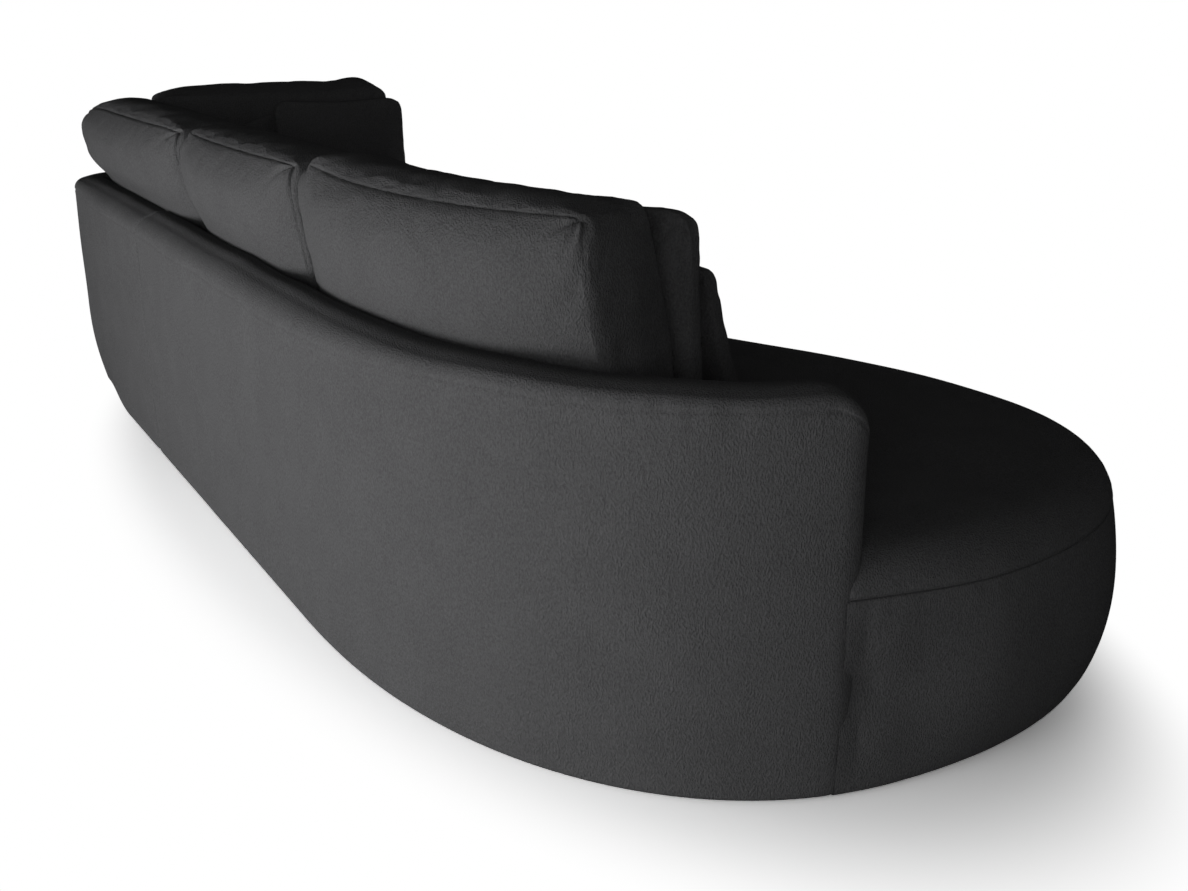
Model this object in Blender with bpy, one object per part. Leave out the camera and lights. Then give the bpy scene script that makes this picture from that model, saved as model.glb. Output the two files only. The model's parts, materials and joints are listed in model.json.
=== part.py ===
"""Corner sofa in two hooked modules, with loose cushions.

Metres, +Z up. The front faces -Y, the upholstered back stands at +Y, and the open
rounded end lies at -X. The origin is the bottom centre of the bounding box.
"""
import math
from bisect import bisect_right
from collections import namedtuple

import bmesh
import bpy
from mathutils import Vector

# Overall sizes
LENGTH = 3.16                # open end to the outer face of the arm
DEPTH = 1.37                 # rear face to the front of the open end
FOOT_HEIGHT = 0.012
SEAM_HEIGHT = 0.330          # seam between the seat cover and its border
SEAT_HEIGHT = 0.400
SHELL_HEIGHT = 0.645
SHELL_THICKNESS = 0.095
BULGE = 0.034                # swell of the border beyond the plan outline

# Plan of the long module
REAR_CURVE_LENGTH = 1.02
REAR_CURVE_DEPTH = 0.71
REAR_CURVE_POWER = 2.33
OPEN_END_LENGTH = 0.54
OPEN_END_POWER = 2.3
FRONT_SWEEP_LENGTH = 1.20
SEAT_DEPTH = 1.02            # rear face to the straight part of the front
SHELL_END_DEPTH = 0.515      # how far forward the shell wraps round the open end

# Plan of the corner module
CORNER_WIDTH = 0.93
REAR_RADIUS = 0.15
FRONT_RADIUS = 0.20

# Upholstery
SHELL_OUTER_ROUND = 0.018
SHELL_INNER_ROUND = 0.030
SHELL_END_DROP = 0.120       # radius of the shell's upper corner at its free end
SHELL_END_ROUND = 0.030      # rounding of the free end in plan
BORDER_THICKNESS = 0.030
BORDER_SINK = 0.006          # hollow of the border beside the shell's end
BORDER_FADE = 0.17           # length over which the swell grows from the shell's end
COVER_THICKNESS = 0.008
EDGE_ROUND = 0.065           # rounding of the seat along its open edge
TUCK_ROUND = 0.030           # rounding of the seat where it meets the back
CROWN_RISE = 0.005
CROWN_REACH = 0.060

# Timber frame
BOARD_THICKNESS = 0.018
DECK_HEIGHT = 0.225          # upper face of the deck ring
RING_WIDTH = 0.075
CORE_THICKNESS = 0.018
CORE_COVER = 0.036           # padding outside the back core
CORE_STOP = 0.065            # core ends this far short of the shell's free end
CORE_HEIGHT = 0.595
CORE_INSET = 0.030           # core ends this far short of the joint
POST_SIZE = 0.045
POST_SETBACK = 0.160         # middle of a post beside the joint
CORNER_POST_SETBACK = 0.120  # post past the end of the corner's curve
FOOT_RADIUS = 0.030
STRAP_WIDTH = 0.070
STRAP_THICKNESS = 0.003

# Joint between the modules
MODULE_GAP = 0.004
FRAME_RECESS = 0.012
PLATE = 0.003
HOOK_WIDTH = 0.050
HOOK_BOTTOM = 0.085
HOOK_RISE = 0.035            # height of the hook's tongue
KEEPER_TOP = 0.154
KEEPER_OVERLAP = 0.020

# Loose cushions
CUSHION_GUSSET = 0.180
CUSHION_CROWN = 0.035
CUSHION_REAR_CROWN = 0.012   # flatter where it leans on the shell
CUSHION_TOP_CROWN = 0.022
CUSHION_DRAW = 0.012         # how far a side pulls in between its corners
CUSHION_HEIGHT = 0.455
ARM_CUSHION_HEIGHT = 0.480
END_LEAN = math.radians(6.0)
MIDDLE_LEAN = math.radians(9.0)
CORNER_LEAN = math.radians(12.0)
ARM_LEAN = math.radians(8.0)
MIDDLE_WIDTH = 0.76
END_WIDTH = 0.96
ARM_WIDTH = 0.60
CORNER_REACH = 0.255         # how far the corner's back cushion reaches past the joint
ARM_FLARE = 0.100            # the arm cushion's reach into the corner at its top
CUSHION_SPACE = 0.006        # air between neighbouring back cushions
CUSHION_CLEAR = 0.003        # air between a cushion's crown and the shell
CORNER_CLEAR = 0.012         # more of it beside the shell's rounded corner

# Scatter pillows, each shifted along the cushion that it leans on
PILLOW_PINCH = 0.022
PILLOW_EDGE = 0.006
PILLOW_CLEAR = 0.004         # air between a pillow and what stands behind it
ARM_REAR_WIDTH = 0.30
ARM_REAR_HEIGHT = 0.38
ARM_REAR_THICKNESS = 0.10
ARM_REAR_SHIFT = 0.195
ARM_REAR_ROLL = math.radians(-14.0)
ARM_FRONT_WIDTH = 0.40
ARM_FRONT_HEIGHT = 0.45
ARM_FRONT_THICKNESS = 0.12
ARM_FRONT_SHIFT = -0.055
ARM_FRONT_SPACE = 0.072      # room left behind it for the rear pillow's edge
END_REAR_WIDTH = 0.46
END_REAR_HEIGHT = 0.45
END_REAR_THICKNESS = 0.13
END_REAR_SHIFT = 0.17
END_FRONT_WIDTH = 0.44
END_FRONT_HEIGHT = 0.34
END_FRONT_THICKNESS = 0.12
END_FRONT_SHIFT = -0.045     # measured from the pillow behind it
END_FRONT_TOUCH = 0.7        # share of its height at which it meets the pillow behind
END_FRONT_LEAN = math.radians(22.0)

GAP = 0.0004                 # clearance between touching pieces
MIN_ROUND = 0.006
CHORD_ERROR = 0.0009         # how far a flat facet may lie from its true curve
EDGE_ANGLES = (0, 30, 60, 90)

REAR = DEPTH / 2
FAR = LENGTH / 2
NEAR = -LENGTH / 2 + BULGE
FRONT = REAR - SEAT_DEPTH
SEAM_X = FAR - CORNER_WIDTH
LONG_EDGE = SEAM_X - MODULE_GAP / 2
CORNER_EDGE = SEAM_X + MODULE_GAP / 2
BASE = FOOT_HEIGHT + GAP
BOARD_TOP = BASE + BOARD_THICKNESS
RING_BOTTOM = DECK_HEIGHT - BOARD_THICKNESS

Station = namedtuple("Station", "point inward kind joint bend run step", defaults=(Vector((0.0, 0.0)),))
NOWHERE = Vector((0.0, 0.0))
STEP_REACH = TUCK_ROUND + 0.002
STEP_ROOM = 0.045            # plain stretch of border beside the shell's free end


class Path:
    """A plan curve as a fine row of points, walked by length with the seat on its left."""

    def __init__(self, points):
        self.points = [Vector(p) for p in points]
        self.marked = [0.0]
        for a, b in zip(self.points, self.points[1:]):
            self.marked.append(self.marked[-1] + (b - a).length)
        self.total = self.marked[-1]
        self.headings = []
        last = len(self.points) - 1
        for i in range(last + 1):
            before = self.points[max(i - 1, 0)]
            after = self.points[min(i + 1, last)]
            self.headings.append((after - before).normalized())
        self.headings[0] = Vector((-1.0, 0.0))
        self.headings[last] = Vector((1.0, 0.0))

    def at(self, s):
        i = min(max(bisect_right(self.marked, s) - 1, 0), len(self.points) - 2)
        t = (s - self.marked[i]) / (self.marked[i + 1] - self.marked[i])
        heading = self.headings[i].lerp(self.headings[i + 1], t).normalized()
        return self.points[i].lerp(self.points[i + 1], t), Vector((-heading.y, heading.x))

    def marks(self, start, end):
        # the fewest points of the row that keep the chords between them close to the curve
        found = [start]
        passed = []
        for s in [m for m in self.marked if start + 0.01 < m < end - 0.01] + [end]:
            a, b = self.at(found[-1])[0], self.at(s)[0]
            side = Vector((a.y - b.y, b.x - a.x)).normalized()
            if any(abs((self.at(m)[0] - a).dot(side)) > CHORD_ERROR for m in passed):
                found.append(passed[-1])
                passed = []
            passed.append(s)
        return found + [end]


def oval(centre, half, power, first, last, count):
    # quarter of a squared ellipse, from one angle to another
    points = []
    for i in range(count + 1):
        angle = math.radians(first + (last - first) * i / count)
        c, s = math.cos(angle), math.sin(angle)
        x = math.copysign(abs(c) ** (2 / power), c) if abs(c) > 1e-9 else 0.0
        y = math.copysign(abs(s) ** (2 / power), s) if abs(s) > 1e-9 else 0.0
        points.append((centre[0] + half[0] * x, centre[1] + half[1] * y))
    return points


def long_path():
    middle = REAR - REAR_CURVE_DEPTH
    reach = DEPTH - BULGE - REAR_CURVE_DEPTH
    rear = oval((NEAR + REAR_CURVE_LENGTH, middle), (REAR_CURVE_LENGTH, REAR_CURVE_DEPTH),
                REAR_CURVE_POWER, 90, 180, 90)
    end = oval((NEAR + OPEN_END_LENGTH, middle), (OPEN_END_LENGTH, reach),
               OPEN_END_POWER, 180, 270, 60)
    tip = middle - reach
    sweep = []
    for i in range(1, 41):
        t = i / 40
        x = NEAR + OPEN_END_LENGTH + FRONT_SWEEP_LENGTH * t
        sweep.append((x, FRONT + (tip - FRONT) * (1 + math.cos(math.pi * t)) / 2))
    return Path([(LONG_EDGE, REAR)] + rear + end[1:] + sweep + [(LONG_EDGE, FRONT)])


LONG = long_path()


def length_at_depth(path, depth):
    # the length along the path where it first comes this far forward of the rear face
    for a, b, s, e in zip(path.points, path.points[1:], path.marked, path.marked[1:]):
        if REAR - b.y >= depth:
            t = (REAR - depth - a.y) / (b.y - a.y)
            return s + (e - s) * t
    return path.total


SHELL_END = length_at_depth(LONG, SHELL_END_DEPTH)


def long_station(s, kind):
    point, inward = LONG.at(s)
    joint = Vector((-1.0, 0.0)) if s in (0.0, LONG.total) else NOWHERE
    return Station(point, inward, kind, joint, None, abs(s - SHELL_END))


def corner_bend(kind, centre, radius, first, count, diagonal, run):
    found = []
    for i in range(count + 1):
        angle = math.radians(first + 90 * i / count)
        inward = -Vector((math.cos(angle), math.sin(angle)))
        found.append(Station(centre - inward * radius, inward, kind, NOWHERE,
                             (centre, radius, diagonal), run + radius * math.radians(90 * i / count)))
    return found


def corner_front():
    # the border's run: from the module joint along the front and round to the arm
    centre = Vector((FAR - FRONT_RADIUS, FRONT + FRONT_RADIUS))
    whole = FRONT_RADIUS * math.pi / 2 + STEP_ROOM
    straight = centre.x - CORNER_EDGE
    first = Station(Vector((CORNER_EDGE, FRONT)), Vector((0.0, 1.0)), "border",
                    Vector((1.0, 0.0)), None, whole + straight)
    bend = corner_bend("border", centre, FRONT_RADIUS, -90, 8, Vector((-1.0, 1.0)), 0.0)
    bend = [item._replace(run=whole - item.run) for item in bend]
    last = Station(Vector((FAR, centre.y + STEP_ROOM - GAP)), Vector((-1.0, 0.0)), "border",
                   NOWHERE, None, GAP, Vector((0.0, -1.0)))
    return [first] + bend + [last]


def corner_back(ends=(0.0,)):
    # the shell's run: up the arm, round the rear corner and back to the module joint
    centre = Vector((FAR - REAR_RADIUS, REAR - REAR_RADIUS))
    low = FRONT + FRONT_RADIUS + STEP_ROOM
    found = [Station(Vector((FAR, low + d)), Vector((-1.0, 0.0)), "shell", NOWHERE, None, d)
             for d in ends]
    found += corner_bend("shell", centre, REAR_RADIUS, 0, 6, Vector((-1.0, -1.0)), centre.y - low)
    last = Station(Vector((CORNER_EDGE, REAR)), Vector((0.0, -1.0)), "shell",
                   Vector((1.0, 0.0)), None, found[-1].run + centre.x - CORNER_EDGE)
    return found + [last]


def long_loop():
    step = SHELL_END + GAP
    onward = LONG.points[LONG.marked.index(min(m for m in LONG.marked if m > step))] - LONG.at(step)[0]
    found = [long_station(s, "shell") for s in LONG.marks(0.0, step)]
    found[-1] = found[-1]._replace(step=onward.normalized())
    found.append(found[-1]._replace(kind="border"))
    found += [long_station(s, "border") for s in LONG.marks(step + STEP_ROOM, LONG.total)]
    return found


def corner_loop():
    back = corner_back()
    back[0] = back[0]._replace(point=back[0].point - Vector((0.0, GAP)), step=Vector((0.0, -1.0)))
    return corner_front() + back


def spot(station, inset, joint=0.0):
    """The plan point this far inside the outline, and this far from the module joint."""
    if station.bend:
        centre, radius, diagonal = station.bend
        left = max(radius - inset, MIN_ROUND)
        place = centre + diagonal * (left + inset - radius) - station.inward * left
    else:
        place = station.point + station.inward * inset
    return place + station.joint * joint + station.step * min(joint, STEP_REACH)


def level(stations, shell, border, joint, z_shell, z_border=None):
    z_border = z_shell if z_border is None else z_border
    found = []
    for station in stations:
        inset = shell if station.kind == "shell" else border
        place = spot(station, inset, joint)
        found.append((place.x, place.y, z_shell if station.kind == "shell" else z_border))
    return found


def material(name, colour, roughness, metallic=0.0):
    made = bpy.data.materials.new(name)
    made.use_nodes = True
    shader = made.node_tree.nodes["Principled BSDF"]
    shader.inputs["Base Color"].default_value = (*colour, 1.0)
    shader.inputs["Roughness"].default_value = roughness
    shader.inputs["Metallic"].default_value = metallic
    return made


def finish(name, bm, paint, parent, origin=(0.0, 0.0, 0.0)):
    bmesh.ops.recalc_face_normals(bm, faces=bm.faces)
    mesh = bpy.data.meshes.new(name)
    bm.to_mesh(mesh)
    bm.free()
    mesh.materials.append(paint)
    made = bpy.data.objects.new(name, mesh)
    bpy.context.collection.objects.link(made)
    made.parent = parent
    made.location = origin
    return made


def skin(loops, closed=False):
    """Joins rows of points; open rows get a face across the first and the last.

    Each quad is split from its lower corner, so that parallel skins fold the same way.
    """
    bm = bmesh.new()
    rows = [[bm.verts.new(p) for p in points] for points in loops]
    count = len(rows[0])
    pairs = list(zip(rows, rows[1:]))
    if closed:
        pairs.append((rows[-1], rows[0]))
    for a, b in pairs:
        for i in range(count):
            j = (i + 1) % count
            low, high = (b, a) if b[i].co.z < a[i].co.z else (a, b)
            bm.faces.new((low[i], low[j], high[j]))
            bm.faces.new((low[i], high[j], high[i]))
    if not closed:
        bm.faces.new(rows[0][::-1])
        bm.faces.new(rows[-1])
    return bm


def brick(size):
    bm = bmesh.new()
    bmesh.ops.create_cube(bm, size=1.0)
    bmesh.ops.scale(bm, vec=Vector(size), verts=bm.verts)
    return bm


def along(stations, section):
    # one closed section per station, as a row of plan and height points
    rows = []
    for station in stations:
        row = []
        for inset, z in section(station):
            place = spot(station, inset)
            row.append((place.x, place.y, z))
        rows.append(row)
    return rows


def quarter(radius, steps):
    return [(radius * (1 - math.cos(math.pi / 2 * i / steps)),
             radius * math.sin(math.pi / 2 * i / steps)) for i in range(steps + 1)]


def shell_section(station):
    d = station.run
    drop = SHELL_END_DROP - math.sqrt(max(SHELL_END_DROP ** 2 - max(SHELL_END_DROP - d, 0.0) ** 2, 0.0))
    thin = SHELL_END_ROUND - math.sqrt(max(SHELL_END_ROUND ** 2 - max(SHELL_END_ROUND - d, 0.0) ** 2, 0.0))
    top = SHELL_HEIGHT - drop
    outer = [(thin + a, top - SHELL_OUTER_ROUND + z) for a, z in quarter(SHELL_OUTER_ROUND, 3)]
    inner = [(SHELL_THICKNESS - thin - a, top - SHELL_INNER_ROUND + z)
             for a, z in reversed(quarter(SHELL_INNER_ROUND, 3))]
    return [(thin, BASE)] + outer + inner + [(SHELL_THICKNESS - thin, BASE)]


def border_section(station):
    grow = min(station.run / BORDER_FADE, 1.0)
    grow = grow * grow * (3 - 2 * grow) * (1 + min(station.inward.x, 0.0))
    swell = BORDER_SINK * (1 - grow) - BULGE * grow
    rows = 8
    points = []
    for i in range(rows + 1):
        t = i / rows
        points.append((swell * math.sin(math.pi * t) ** 0.9 if 0 < i < rows else 0.0,
                       BASE + (SEAM_HEIGHT - GAP - BASE) * t))
    return points + [(BORDER_THICKNESS, SEAM_HEIGHT - GAP), (BORDER_THICKNESS, BASE)]


def slab_section(low, high, bottom, top):
    return lambda station: [(low, bottom), (low, top), (high, top), (high, bottom)]


def seat_level(stations, below, open_angle, tuck_angle):
    """One row of the seat's rounded edge, the given depth below its upper face."""
    a = math.radians(open_angle)
    b = math.radians(tuck_angle)
    shoulder = SEAT_HEIGHT - CROWN_RISE
    tuck = TUCK_ROUND - (TUCK_ROUND - below) * math.cos(b)
    return level(stations,
                 SHELL_THICKNESS + GAP + tuck,
                 EDGE_ROUND - (EDGE_ROUND - below) * math.cos(a),
                 tuck,
                 shoulder - TUCK_ROUND + (TUCK_ROUND - below) * math.sin(b),
                 shoulder - EDGE_ROUND + (EDGE_ROUND - below) * math.sin(a))


def crown_level(stations, below):
    return level(stations, SHELL_THICKNESS + GAP + TUCK_ROUND + CROWN_REACH,
                 EDGE_ROUND + CROWN_REACH, TUCK_ROUND + CROWN_REACH, SEAT_HEIGHT - below)


def seat_cover(stations):
    rows = [crown_level(stations, COVER_THICKNESS)]
    rows += [seat_level(stations, COVER_THICKNESS, a, a) for a in reversed(EDGE_ANGLES)]
    rows += [seat_level(stations, 0.0, a, a) for a in EDGE_ANGLES]
    rows.append(crown_level(stations, 0.0))
    return skin(rows)


def seat_foam(stations):
    # a slab inside the border that spreads over it and fills the cover's rounding
    below = COVER_THICKNESS + GAP
    tuck = SHELL_THICKNESS + GAP + below
    edge = BORDER_THICKNESS + 2 * GAP
    rows = [level(stations, tuck, edge, below, DECK_HEIGHT + STRAP_THICKNESS + 2 * GAP),
            level(stations, tuck, edge, below, SEAT_HEIGHT - CROWN_RISE - EDGE_ROUND)]
    rows += [seat_level(stations, below, a, a) for a in EDGE_ANGLES]
    rows.append(crown_level(stations, below))
    return skin(rows)


def ring_level(stations, extra, z):
    return level(stations, SHELL_THICKNESS + GAP + extra, BORDER_THICKNESS + 2 * GAP + extra,
                 FRAME_RECESS + extra, z)


def base_board(stations):
    return skin([ring_level(stations, 0.0, BASE), ring_level(stations, 0.0, BOARD_TOP)])


def deck_ring(stations):
    return skin([ring_level(stations, 0.0, RING_BOTTOM), ring_level(stations, 0.0, DECK_HEIGHT),
                 ring_level(stations, RING_WIDTH, DECK_HEIGHT),
                 ring_level(stations, RING_WIDTH, RING_BOTTOM)], closed=True)


def crossings(points, axis, value):
    # where a closed plan row passes a given x (axis 0) or y (axis 1)
    found = []
    for a, b in zip(points, points[1:] + points[:1]):
        if (a[axis] - value) * (b[axis] - value) < 0:
            t = (value - a[axis]) / (b[axis] - a[axis])
            other = 1 - axis
            found.append(a[other] + (b[other] - a[other]) * t)
    return sorted(found)


def strap(name, stations, axis, value, parent):
    ends = crossings(ring_level(stations, RING_WIDTH / 2, 0.0), axis, value)
    size = [0.0, 0.0, STRAP_THICKNESS]
    size[axis] = STRAP_WIDTH
    size[1 - axis] = ends[-1] - ends[0]
    place = [0.0, 0.0, DECK_HEIGHT + GAP + STRAP_THICKNESS / 2]
    place[axis] = value
    place[1 - axis] = (ends[0] + ends[-1]) / 2
    finish(name, brick(size), WEBBING, parent, place)


def post_and_foot(prefix, number, station, parent):
    inset = (SHELL_THICKNESS if station.kind == "shell" else BORDER_THICKNESS) + GAP + RING_WIDTH / 2
    place = spot(station, inset)
    height = RING_BOTTOM - BOARD_TOP - 2 * GAP
    post = finish(f"{prefix}_post_{number}", brick((POST_SIZE, POST_SIZE, height)), TIMBER, parent,
                  (place.x, place.y, BOARD_TOP + GAP + height / 2))
    post.rotation_euler.z = math.atan2(station.inward.y, station.inward.x)
    bm = bmesh.new()
    bmesh.ops.create_cone(bm, cap_ends=True, segments=20, radius1=FOOT_RADIUS * 0.9,
                          radius2=FOOT_RADIUS, depth=FOOT_HEIGHT)
    finish(f"{prefix}_foot_{number}", bm, PLASTIC, parent, (place.x, place.y, FOOT_HEIGHT / 2))


def joint_panel(name, side, parent):
    low = FRONT + BORDER_THICKNESS + RING_WIDTH
    high = REAR - SHELL_THICKNESS - RING_WIDTH
    x = SEAM_X + side * (MODULE_GAP / 2 + FRAME_RECESS + BOARD_THICKNESS / 2)
    height = RING_BOTTOM - BOARD_TOP - 2 * GAP
    finish(name, brick((BOARD_THICKNESS, high - low, height)), TIMBER, parent,
           (x, (low + high) / 2, BOARD_TOP + GAP + height / 2))


def hook_profile(kind):
    """Side view of a joint fitting, as x from the joint's middle and height."""
    wall = MODULE_GAP / 2 + FRAME_RECESS - GAP
    half = PLATE / 2
    middle = (half + wall - PLATE) / 2
    tongue = HOOK_BOTTOM + PLATE + HOOK_RISE
    if kind == "hook":
        return [(-wall, HOOK_BOTTOM), (half, HOOK_BOTTOM), (half, tongue), (-half, tongue),
                (-half, HOOK_BOTTOM + PLATE), (PLATE - wall, HOOK_BOTTOM + PLATE),
                (PLATE - wall, KEEPER_TOP - 2 * PLATE), (-wall, KEEPER_TOP - 2 * PLATE)]
    return [(wall, HOOK_BOTTOM + 2 * PLATE), (wall, KEEPER_TOP), (-middle - half, KEEPER_TOP),
            (-middle - half, tongue - KEEPER_OVERLAP), (half - middle, tongue - KEEPER_OVERLAP),
            (half - middle, KEEPER_TOP - PLATE), (wall - PLATE, KEEPER_TOP - PLATE),
            (wall - PLATE, HOOK_BOTTOM + 2 * PLATE)]


def fitting(name, kind, y, parent):
    rows = [[(x, side * HOOK_WIDTH / 2, z) for x, z in hook_profile(kind)] for side in (-1, 1)]
    finish(name, skin(rows), STEEL, parent, (SEAM_X, y, 0.0))


def boxed(width, height, flare=0.0):
    """Shape of a boxed cushion: crowned faces, a banded edge and sides drawn in at mid height."""
    def shape(a, b, c):
        u = a * (width / 2 - CUSHION_DRAW * (1 - c * c) * (1 - (1 - b * b) * 1.2))
        tall = height - CUSHION_DRAW * (1 - a * a) * (c > 0) * c * b * b
        q = (c + 1) / 2 * tall + CUSHION_TOP_CROWN * (1 - b * b) * (1 - a ** 4) * max(c, 0.0) ** 4
        crown = CUSHION_CROWN if b > 0 else CUSHION_REAR_CROWN
        d = b * (CUSHION_GUSSET / 2 + crown * (1 - a ** 4) * (1 - c ** 4))
        return u + flare * q / height * (1 + a) / 2, d, q
    return shape


def pillow(width, height, thickness, roll=0.0):
    """Shape of a knife-edged pillow: thin edges drawn in between pointed corners."""
    cosine, sine = math.cos(roll), math.sin(roll)
    lowest = width / 2 * abs(sine) + height / 2 * cosine

    def shape(a, b, c):
        u = a * (width / 2 - PILLOW_PINCH * (1 - c * c))
        q = c * (height / 2 - PILLOW_PINCH * (1 - a * a))
        full = max((1 - a * a) * (1 - c * c), 0.0) ** 0.6
        d = b * (PILLOW_EDGE + (thickness / 2 - PILLOW_EDGE) * full)
        return u * cosine - q * sine, d, lowest + u * sine + q * cosine
    return shape


def straight_run(origin, direction):
    direction = Vector(direction).normalized()
    inward = Vector((-direction.y, direction.x))
    return lambda u: (Vector(origin) + direction * u, inward)


def cushion(name, shape, counts, run, depth, lean, paint, parent):
    """A soft solid on the seat; depth is its middle plane's distance from the run at seat height."""
    floor = SEAT_HEIGHT + GAP
    home, inward = run(0.0)
    base = home + inward * depth
    bm = bmesh.new()
    made = {}

    def corner(*key):
        if key not in made:
            u, d, q = shape(*(2 * k / n - 1 for k, n in zip(key, counts)))
            point, facing = run(u)
            place = point + facing * (depth + d - math.tan(lean) * q) - base
            made[key] = bm.verts.new((place.x, place.y, q))
        return made[key]

    for axis in range(3):
        p, r = [k for k in range(3) if k != axis]
        for end in (0, counts[axis]):
            for i in range(counts[p]):
                for j in range(counts[r]):
                    face = []
                    for di, dj in ((0, 0), (1, 0), (1, 1), (0, 1)):
                        key = [0, 0, 0]
                        key[axis], key[p], key[r] = end, i + di, j + dj
                        face.append(corner(*key))
                    bm.faces.new(face)
    finish(name, bm, paint, parent, (base.x, base.y, floor))


for item in list(bpy.data.objects):
    bpy.data.objects.remove(item, do_unlink=True)

FABRIC = material("charcoal_fabric", (0.075, 0.075, 0.077), 0.95)
TIMBER = material("plywood", (0.52, 0.38, 0.23), 0.7)
FOAM = material("foam", (0.72, 0.68, 0.55), 0.9)
WEBBING = material("webbing", (0.03, 0.03, 0.03), 0.85)
PLASTIC = material("black_plastic", (0.02, 0.02, 0.02), 0.5)
STEEL = material("zinc_steel", (0.62, 0.62, 0.60), 0.35, 1.0)

long_module = bpy.data.objects.new("long_module_root", None)
corner_module = bpy.data.objects.new("corner_module_root", None)
for empty in (long_module, corner_module):
    bpy.context.collection.objects.link(empty)

long_stations = long_loop()
corner_stations = corner_loop()
end_steps = (0.0, 0.003, 0.010, SHELL_END_ROUND, 0.055, SHELL_END_DROP)


def module(prefix, stations, back, core, front, parent):
    finish(f"{prefix}_base_board", base_board(stations), TIMBER, parent)
    finish(f"{prefix}_deck_ring", deck_ring(stations), TIMBER, parent)
    finish(f"{prefix}_seat_foam", seat_foam(stations), FOAM, parent)
    finish(f"{prefix}_seat_cover", seat_cover(stations), FABRIC, parent)
    finish(f"{prefix}_border", skin(along(front, border_section)), FABRIC, parent)
    low, high = CORE_COVER, CORE_COVER + CORE_THICKNESS
    finish(f"{prefix}_back_core", skin(along(core(0.0), slab_section(low, high, BASE, CORE_HEIGHT))),
           TIMBER, parent)
    shell = finish(f"{prefix}_back_shell", skin(along(back, shell_section)), FABRIC, parent)
    pocket = slab_section(low - GAP, high + GAP, BASE - 0.05, CORE_HEIGHT + GAP)
    cutter = finish(f"{prefix}_core_pocket", skin(along(core(GAP), pocket)), TIMBER, parent)
    cutter.hide_render = True
    cutter.display_type = "WIRE"
    cut = shell.modifiers.new("core_pocket", "BOOLEAN")
    cut.operation = "DIFFERENCE"
    cut.object = cutter
    cut.solver = "EXACT"


def long_core(extra):
    marks = LONG.marks(CORE_INSET - extra, SHELL_END - CORE_STOP + extra)
    return [long_station(s, "shell") for s in marks]


def corner_core(extra):
    stations = corner_back((CORE_STOP - extra,))
    last = stations[-1]
    stations[-1] = last._replace(point=last.point + Vector((CORE_INSET - extra, 0.0)))
    return stations


long_ends = [SHELL_END - d for d in reversed(end_steps)]
long_marks = LONG.marks(0.0, long_ends[0])[:-1] + long_ends
module("long", long_stations, [long_station(s, "shell") for s in long_marks], long_core,
       [s for s in long_stations if s.kind == "border"], long_module)
module("corner", corner_stations, corner_back(end_steps), corner_core,
       [s for s in corner_stations if s.kind == "border"], corner_module)

# Posts with a foot under each, spread round each module
border_run = LONG.total - SHELL_END
long_posts = [(POST_SETBACK, "shell"), (SHELL_END * 0.52, "shell"), (SHELL_END * 0.86, "shell"),
              (SHELL_END + border_run * 0.22, "border"), (SHELL_END + border_run * 0.58, "border"),
              (LONG.total - POST_SETBACK, "border")]
for number, (s, kind) in enumerate(long_posts, 1):
    post_and_foot("long", number, long_station(s, kind), long_module)
corner_front_run = corner_front()
corner_back_run = corner_back((0.05,))
corner_posts = [
    corner_front_run[0]._replace(point=Vector((CORNER_EDGE + POST_SETBACK, FRONT))),
    corner_front_run[5],
    corner_back_run[0]._replace(point=Vector((FAR, REAR - REAR_RADIUS - CORNER_POST_SETBACK))),
    corner_back_run[-1]._replace(point=Vector((CORNER_EDGE + POST_SETBACK, REAR))),
]
for number, station in enumerate(corner_posts, 1):
    post_and_foot("corner", number, station._replace(joint=NOWHERE), corner_module)

# Elastic straps over the deck rings
for number, part in enumerate((0.20, 0.37, 0.54, 0.71, 0.88), 1):
    strap(f"long_strap_{number}", long_stations, 0, NEAR + (LONG_EDGE - NEAR) * part, long_module)
for number, part in enumerate((0.30, 0.52, 0.74), 1):
    strap(f"corner_strap_{number}", corner_stations, 1, FRONT + SEAT_DEPTH * part, corner_module)

# Joint panels, and the hooks and keepers that couple the modules
joint_panel("long_joint_panel", -1, long_module)
joint_panel("corner_joint_panel", 1, corner_module)
for number, part in enumerate((0.28, 0.66), 1):
    y = FRONT + SEAT_DEPTH * part
    fitting(f"long_hook_{number}", "hook", y, long_module)
    fitting(f"corner_keeper_{number}", "keeper", y, corner_module)

# Loose cushions: the crown of each back cushion just clears the shell below its rounded edge
def back_depth(lean):
    return (SHELL_THICKNESS + CUSHION_CLEAR + CUSHION_REAR_CROWN + CUSHION_GUSSET / 2
            + math.tan(lean) * (SHELL_HEIGHT - SHELL_INNER_ROUND - SEAT_HEIGHT))


def front_depth(lean):
    return back_depth(lean) + CUSHION_GUSSET / 2 + CUSHION_CROWN


mid_edge = SEAM_X - CORNER_REACH
CORNER_CUSHION_WIDTH = FAR - SHELL_THICKNESS - 2 * CUSHION_SPACE - CORNER_CLEAR - mid_edge
cushion("corner_back_cushion", boxed(CORNER_CUSHION_WIDTH, CUSHION_HEIGHT), (9, 4, 6),
        straight_run((mid_edge + (CUSHION_SPACE + CORNER_CUSHION_WIDTH) / 2, REAR), (-1.0, 0.0)),
        back_depth(CORNER_LEAN), CORNER_LEAN, FABRIC, corner_module)
cushion("middle_back_cushion", boxed(MIDDLE_WIDTH, CUSHION_HEIGHT), (8, 4, 6),
        straight_run((mid_edge - (CUSHION_SPACE + MIDDLE_WIDTH) / 2, REAR), (-1.0, 0.0)),
        back_depth(MIDDLE_LEAN), MIDDLE_LEAN, FABRIC, long_module)
end_middle = LONG_EDGE - mid_edge + MIDDLE_WIDTH + 1.5 * CUSHION_SPACE + END_WIDTH / 2
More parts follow.
